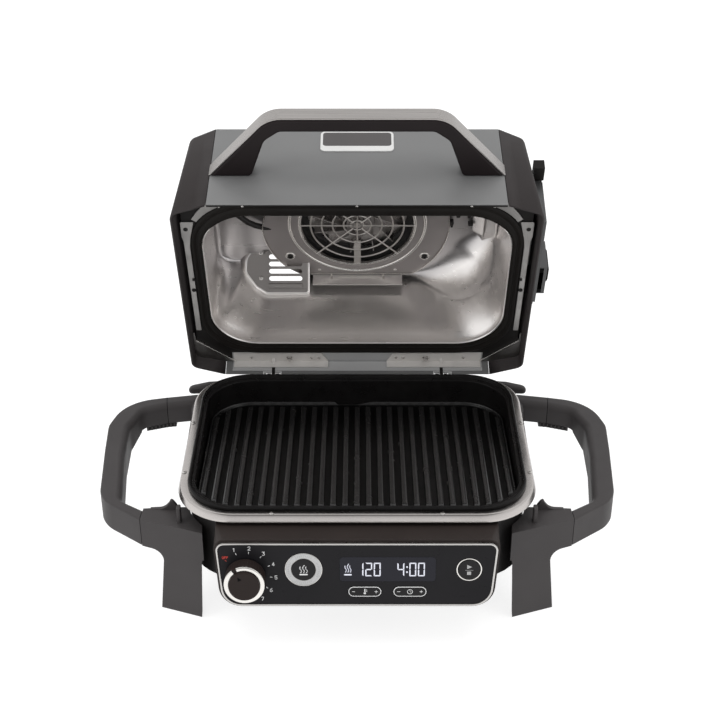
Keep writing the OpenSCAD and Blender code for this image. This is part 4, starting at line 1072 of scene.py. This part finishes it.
# ---- fluted smoke inlet on the right of the ceiling, studs and small screws
p = Piece("smoke_inlet_v", "lid", lid)
rows = []
for y, k in ((-96, 0), (-40, 0), (13, 0), (14, 0)):
    rows.append([(142.6, y, 262.5), (153.8, y, 254.4), (154.6, y, 253.7), (155.4, y, 254.0), (155.6, y, 259.5), (169.6, y, 254.6), (170.6, y, 253.6), (171.6, y, 254.0), (172.6, y, 262), (172.6, y, 268), (142.6, y, 268)])
tail = [(21, 3.0, .45), (28.6, 8.0, 1.0)]
for y, k, f in tail:
    q = [(142.6 + 12.6 * f, y, 263 + k * .3), (153.8 + 1.3 * f, y, 254.4 + k * .55), (154.6 + .6 * f, y, 253.7 + k * .7), (155.4 + .1 * f, y, 254.0 + k * .55), (155.6, y, 259.5 + k * .25), (169.6, y, 254.6 + k * .35), (170.6, y, 253.6 + k * .35), (171.6, y, 254.0 + k * .35), (172.6, y, 262), (172.6, y, 268), (142.6 + 12.6 * f, y, 268)]
    rows.append(q)
p.loft(rows)
p.done(LINER, .35, 1, angle=25, soft=30, slot="liner_steel")
# dark clips beside the fan plate
p = Piece("liner_clips_v", "lid", lid)
for x0, x1, y0, y1 in ((119.4, 126.6, -24, -13.6), (133.2, 139.6, -24, -13.2)):
    p.slab(arcs([(x0, y0), (x1, y0), (x1 - .8, y1), (x0 + 1.6, y1)], 1.4, 3), 256.8, 266, 0, 1.0)
p.slab(arcs([(113.0, -6), (118.6, -5), (117.4, 3.4), (114.8, 3.6)], 1.2, 3), 256.8, 264, 0, .8)
p.slab(arcs([(136, 1.0), (142.4, -1.5), (142.2, 2.6), (137, 3.2)], .8, 3), 258.8, 266, 0, .6)
p.done(ELEM, soft=45, slot="element")
p = Piece("liner_studs_v", "lid", lid)
for x, y, z in ((94.5, 108.6, 227), (62, 106.2, 250)):
    p.fn = lambda q, x=x, y=y, z=z: lid((x + q[0], y - q[2], z + q[1]))
    p.revolve([(2.6, -3), (2.6, .6), (1.7, .8), (1.7, 4.2), (1.3, 4.6)], 18)
p.fn = lambda q: lid((174.6 - q[2], 20 + q[0], 232 + q[1]))
p.screw(0, 0, -.5, 2.4, 1.2, 10)
p.done(SCREW, slot="screw_steel")

# ---- brackets, strips and screws on the carrier frame
p = Piece("liner_brackets_v", "lid", down)
for s in (-1, 1):
    p.fn = flip(down, s)
    # side strip, wide at its front end
    strip = arcs([(184.6, -106.6), (200.2, -106.6), (200.4, -83), (198.8, -74), (198.6, 86), (192.2, 86), (192.0, -66), (190.6, -79), (187.8, -92)], [1.2, 1.8, 5, 5, 1, 1, 8, 10, 10], 4)
    p.slab(strip, .2, 1.5, .35)
    # corner plate outside the seal's front corner
    arc = [(123.5 + 68.6 * cos(radians(a)), -70 + 68.6 * sin(radians(a))) for a in (-67, -61, -55, -49, -43, -37, -32.5)]
    corner = [(149.0, -134.6), (160.5, -134.9), (164.2, -137.6), (168.6, -137.6), (171.4, -133.6), (180.4, -122.2), (187.0, -111.4)]
    p.slab((corner + arc[::-1])[::1], .2, 1.6, .4)
    # rear corner gusset with a folded edge
    p.slab([(201.4, 92), (203.4, 92), (204.0, 138.6), (168.0, 148.4), (155, 148.4), (201.0, 106)], .1, 1.3, .3)
    p.mi = 1
    for a, b, c, d in (((201.6, 105.6), (155.0, 147.6), (154.0, 146.4), (200.6, 104.4)),):
        p.slab([a, b, c, d], 0, 2.8, .4)
    p.mi = 0
p.done([BRACK, TRIM], soft=40, replaces="liner_brackets")
p = Piece("liner_clips_small_v", "lid", down)
for s in (-1, 1):
    p.fn = flip(down, s)
    p.slab(arcs([(191.0, -10.5), (194.8, -10.5), (194.8, -7.6), (191.0, -7.6)], .5, 2), .2, 3.0, .3)
p.done(ELEM, soft=40, slot="element")


def dark_arms(p):
    for f in p.bm.faces:
        x, y, z = unlid(f.calc_center_median())
        f.material_index = 1 if abs(abs(x) - 106) < 2.2 and y > 148.0 else 0


refine("hinge_brackets", [BRACKH, SHELL], .45, 3, extra=dark_arms)
paint("hinge_pins", SHELL)
p = Piece("hinge_notch_cover_v", "lid", lid)
for s in (-1, 1):
    p.fn = flip(lid, s)
    for x0, x1, z0 in ((96.2, 97.4, 142.3), (97.4, 103.6, 144.4), (103.6, 108.4, 142.3), (108.4, 114.6, 144.4), (114.6, 118.3, 142.3)):
        p.box(x0, x1, 148.9, 150.4, z0, 147.8)
p.done(HEMGREY, slot="painted_grey")
p = Piece("lid_screws_v", "lid", lambda q: lid((q[0], q[1], 146.2 - q[2])))
for x in (-126, 0, 126):
    p.screw(x, -148.2, 0, 1.45, .8, 25)
p.fn = down
for s in (-1, 1):
    p.mi = 1
    for y in (-95, 10):
        p.screw(s * 194.6, y, 1.5, 2.6, 1.2, 40)
    p.mi = 0
    p.screw(s * 153.5, -132.0, 1.5, 1.7, .8, 10)
    for x in (49, 58, 134):
        p.screw(s * x, 140.4, 1.6, 2.3, 1.0, 30)
    p.revolve([(4.8, 1.6), (4.8, 2.2), (3.6, 2.4), (3.6, 4.4), (3.0, 4.8)], 6, s * 86, 141.4)
p.done([SCREW, ELEM], replaces="lid_screws")

# ---- smoke box side


def box_mats(p):
    for f in p.bm.faces:
        x, y, z = unlid(f.calc_center_median())
        f.material_index = 1 if x > 213.3 else 0
        if 215.8 < x < 223.7 and 3.9 < y < 34.1 and 190 < z < 218.2:
            f.material_index = 2


refine("smoke_housing", SMOKEB, 2.2, 4)
refine("smoke_box", [TRAY, SMOKEB, DARK], 2.2, 4, extra=box_mats)
refine("smoke_flap", BLACK, 1.6, 4)
# near-black sheets round the mouth of the pull as painted shade in the opening, and the grip strip on its outside
p = Piece("smoke_pull_v", "smoke_box", lid)
p.box(214.2, 215.9, -3.5, 40, 183.5, 184.4)
p.box(215.9, 223.4, -3.5, 4, 183.5, 184.4)
p.box(215.9, 223.4, 34, 40, 183.5, 184.4)
p.loft([[(x, y, z) for x, y in ((227.3, -5), (228.6, -4), (229.4, -1), (229.4, 16), (228.6, 19.5), (227.3, 21))] for z in (184.4, 214)])
p.done(DARK, .3, 2, slot="leg_plastic")
# raised round tops of the hinge ears
p = Piece("hinge_ear_tops_v", "base")
for sx in (-1, 1):
    for x in (98.2, 109.2):
        band = [(157.2 + 10.85 * cos(radians(a)), 135.7 + 10.85 * sin(radians(a))) for a in range(35, 126, 6)]
        band += [(157.2 + 9.6 * cos(radians(a)), 135.7 + 9.6 * sin(radians(a))) for a in range(125, 34, -6)]
        p.loft([[(sx * q, y, z) for y, z in band] for q in (x, x + 4.6)])
p.done(SHELL, soft=50, slot="leg_plastic")
paint("smoke_igniter", BRACK)

# ================================================================ stage
floor = bpy.data.meshes.new("floor")
floor.from_pydata([(-9, -7, 0), (9, -7, 0), (9, 11, 0), (-9, 11, 0)], [], [(0, 1, 2, 3)])
fm = bpy.data.materials.new("floor_m")
fm.use_nodes = True
fm.node_tree.nodes["Principled BSDF"].inputs["Base Color"].default_value = (.34, .34, .34, 1)
fm.node_tree.nodes["Principled BSDF"].inputs["Emission Color"].default_value = (1, 1, 1, 1)
fm.node_tree.nodes["Principled BSDF"].inputs["Emission Strength"].default_value = .79
fm.node_tree.nodes["Principled BSDF"].inputs["Roughness"].default_value = .9
fm.node_tree.nodes["Principled BSDF"].inputs["Specular IOR Level"].default_value = .1
floor.materials.append(fm)
fo = bpy.data.objects.new("floor", floor)
SCENE.collection.objects.link(fo)

w = bpy.data.worlds.new("studio")
SCENE.world = w
w.use_nodes = True
w.node_tree.nodes["Background"].inputs["Strength"].default_value = 1.0
# a darker side of the studio in front and above, the way the inside of the lid shows it
WN, WL = w.node_tree.nodes, w.node_tree.links
wc, wm, wg, wr = WN.new("ShaderNodeTexCoord"), WN.new("ShaderNodeMapping"), WN.new("ShaderNodeTexGradient"), WN.new("ShaderNodeValToRGB")
wm.inputs["Rotation"].default_value = (Matrix.Rotation(radians(45), 3, "Y") @ Matrix.Rotation(radians(90), 3, "Z")).to_euler("XYZ")
wr.color_ramp.interpolation = "EASE"
wr.color_ramp.elements[0].position, wr.color_ramp.elements[0].color = .66, (1, 1, 1, 1)
wr.color_ramp.elements[1].position, wr.color_ramp.elements[1].color = .93, (.29, .29, .29, 1)
WL.new(wc.outputs["Generated"], wm.inputs["Vector"])
WL.new(wm.outputs["Vector"], wg.inputs["Vector"])
WL.new(wg.outputs["Fac"], wr.inputs["Fac"])
WL.new(wr.outputs["Color"], WN["Background"].inputs["Color"])


def area(name, loc, rot, sx, sy, power, shape="RECTANGLE"):
    l = bpy.data.lights.new(name, "AREA")
    l.shape, l.size, l.size_y, l.energy = shape, sx, sy, power
    o = bpy.data.objects.new(name, l)
    o.location = loc
    o.rotation_euler = [radians(a) for a in rot]
    SCENE.collection.objects.link(o)
    return o


area("top_soft", (0, -.3, 2.3), (0, 0, 0), 2.2, 1.6, 29).visible_glossy = False
area("front_soft", (-.5, -2.4, 1.3), (66, 0, -12), 1.6, 1.2, 16).visible_glossy = False
area("right_soft", (1.9, -.9, 1.1), (66, 0, 62), .9, 1.2, 6).visible_glossy = False
area("left_soft", (-1.9, -.9, 1.1), (66, 0, -62), .9, 1.2, 9).visible_glossy = False

cam = bpy.data.cameras.new("camera")
cam.lens, cam.sensor_width, cam.clip_end = 70.8, 36, 50
co = bpy.data.objects.new("camera", cam)
co.location = (.0033, -1.4098, 1.0806)
co.rotation_euler = (radians(59), 0, 0)
SCENE.collection.objects.link(co)
SCENE.camera = co
SCENE.view_settings.view_transform = "Standard"
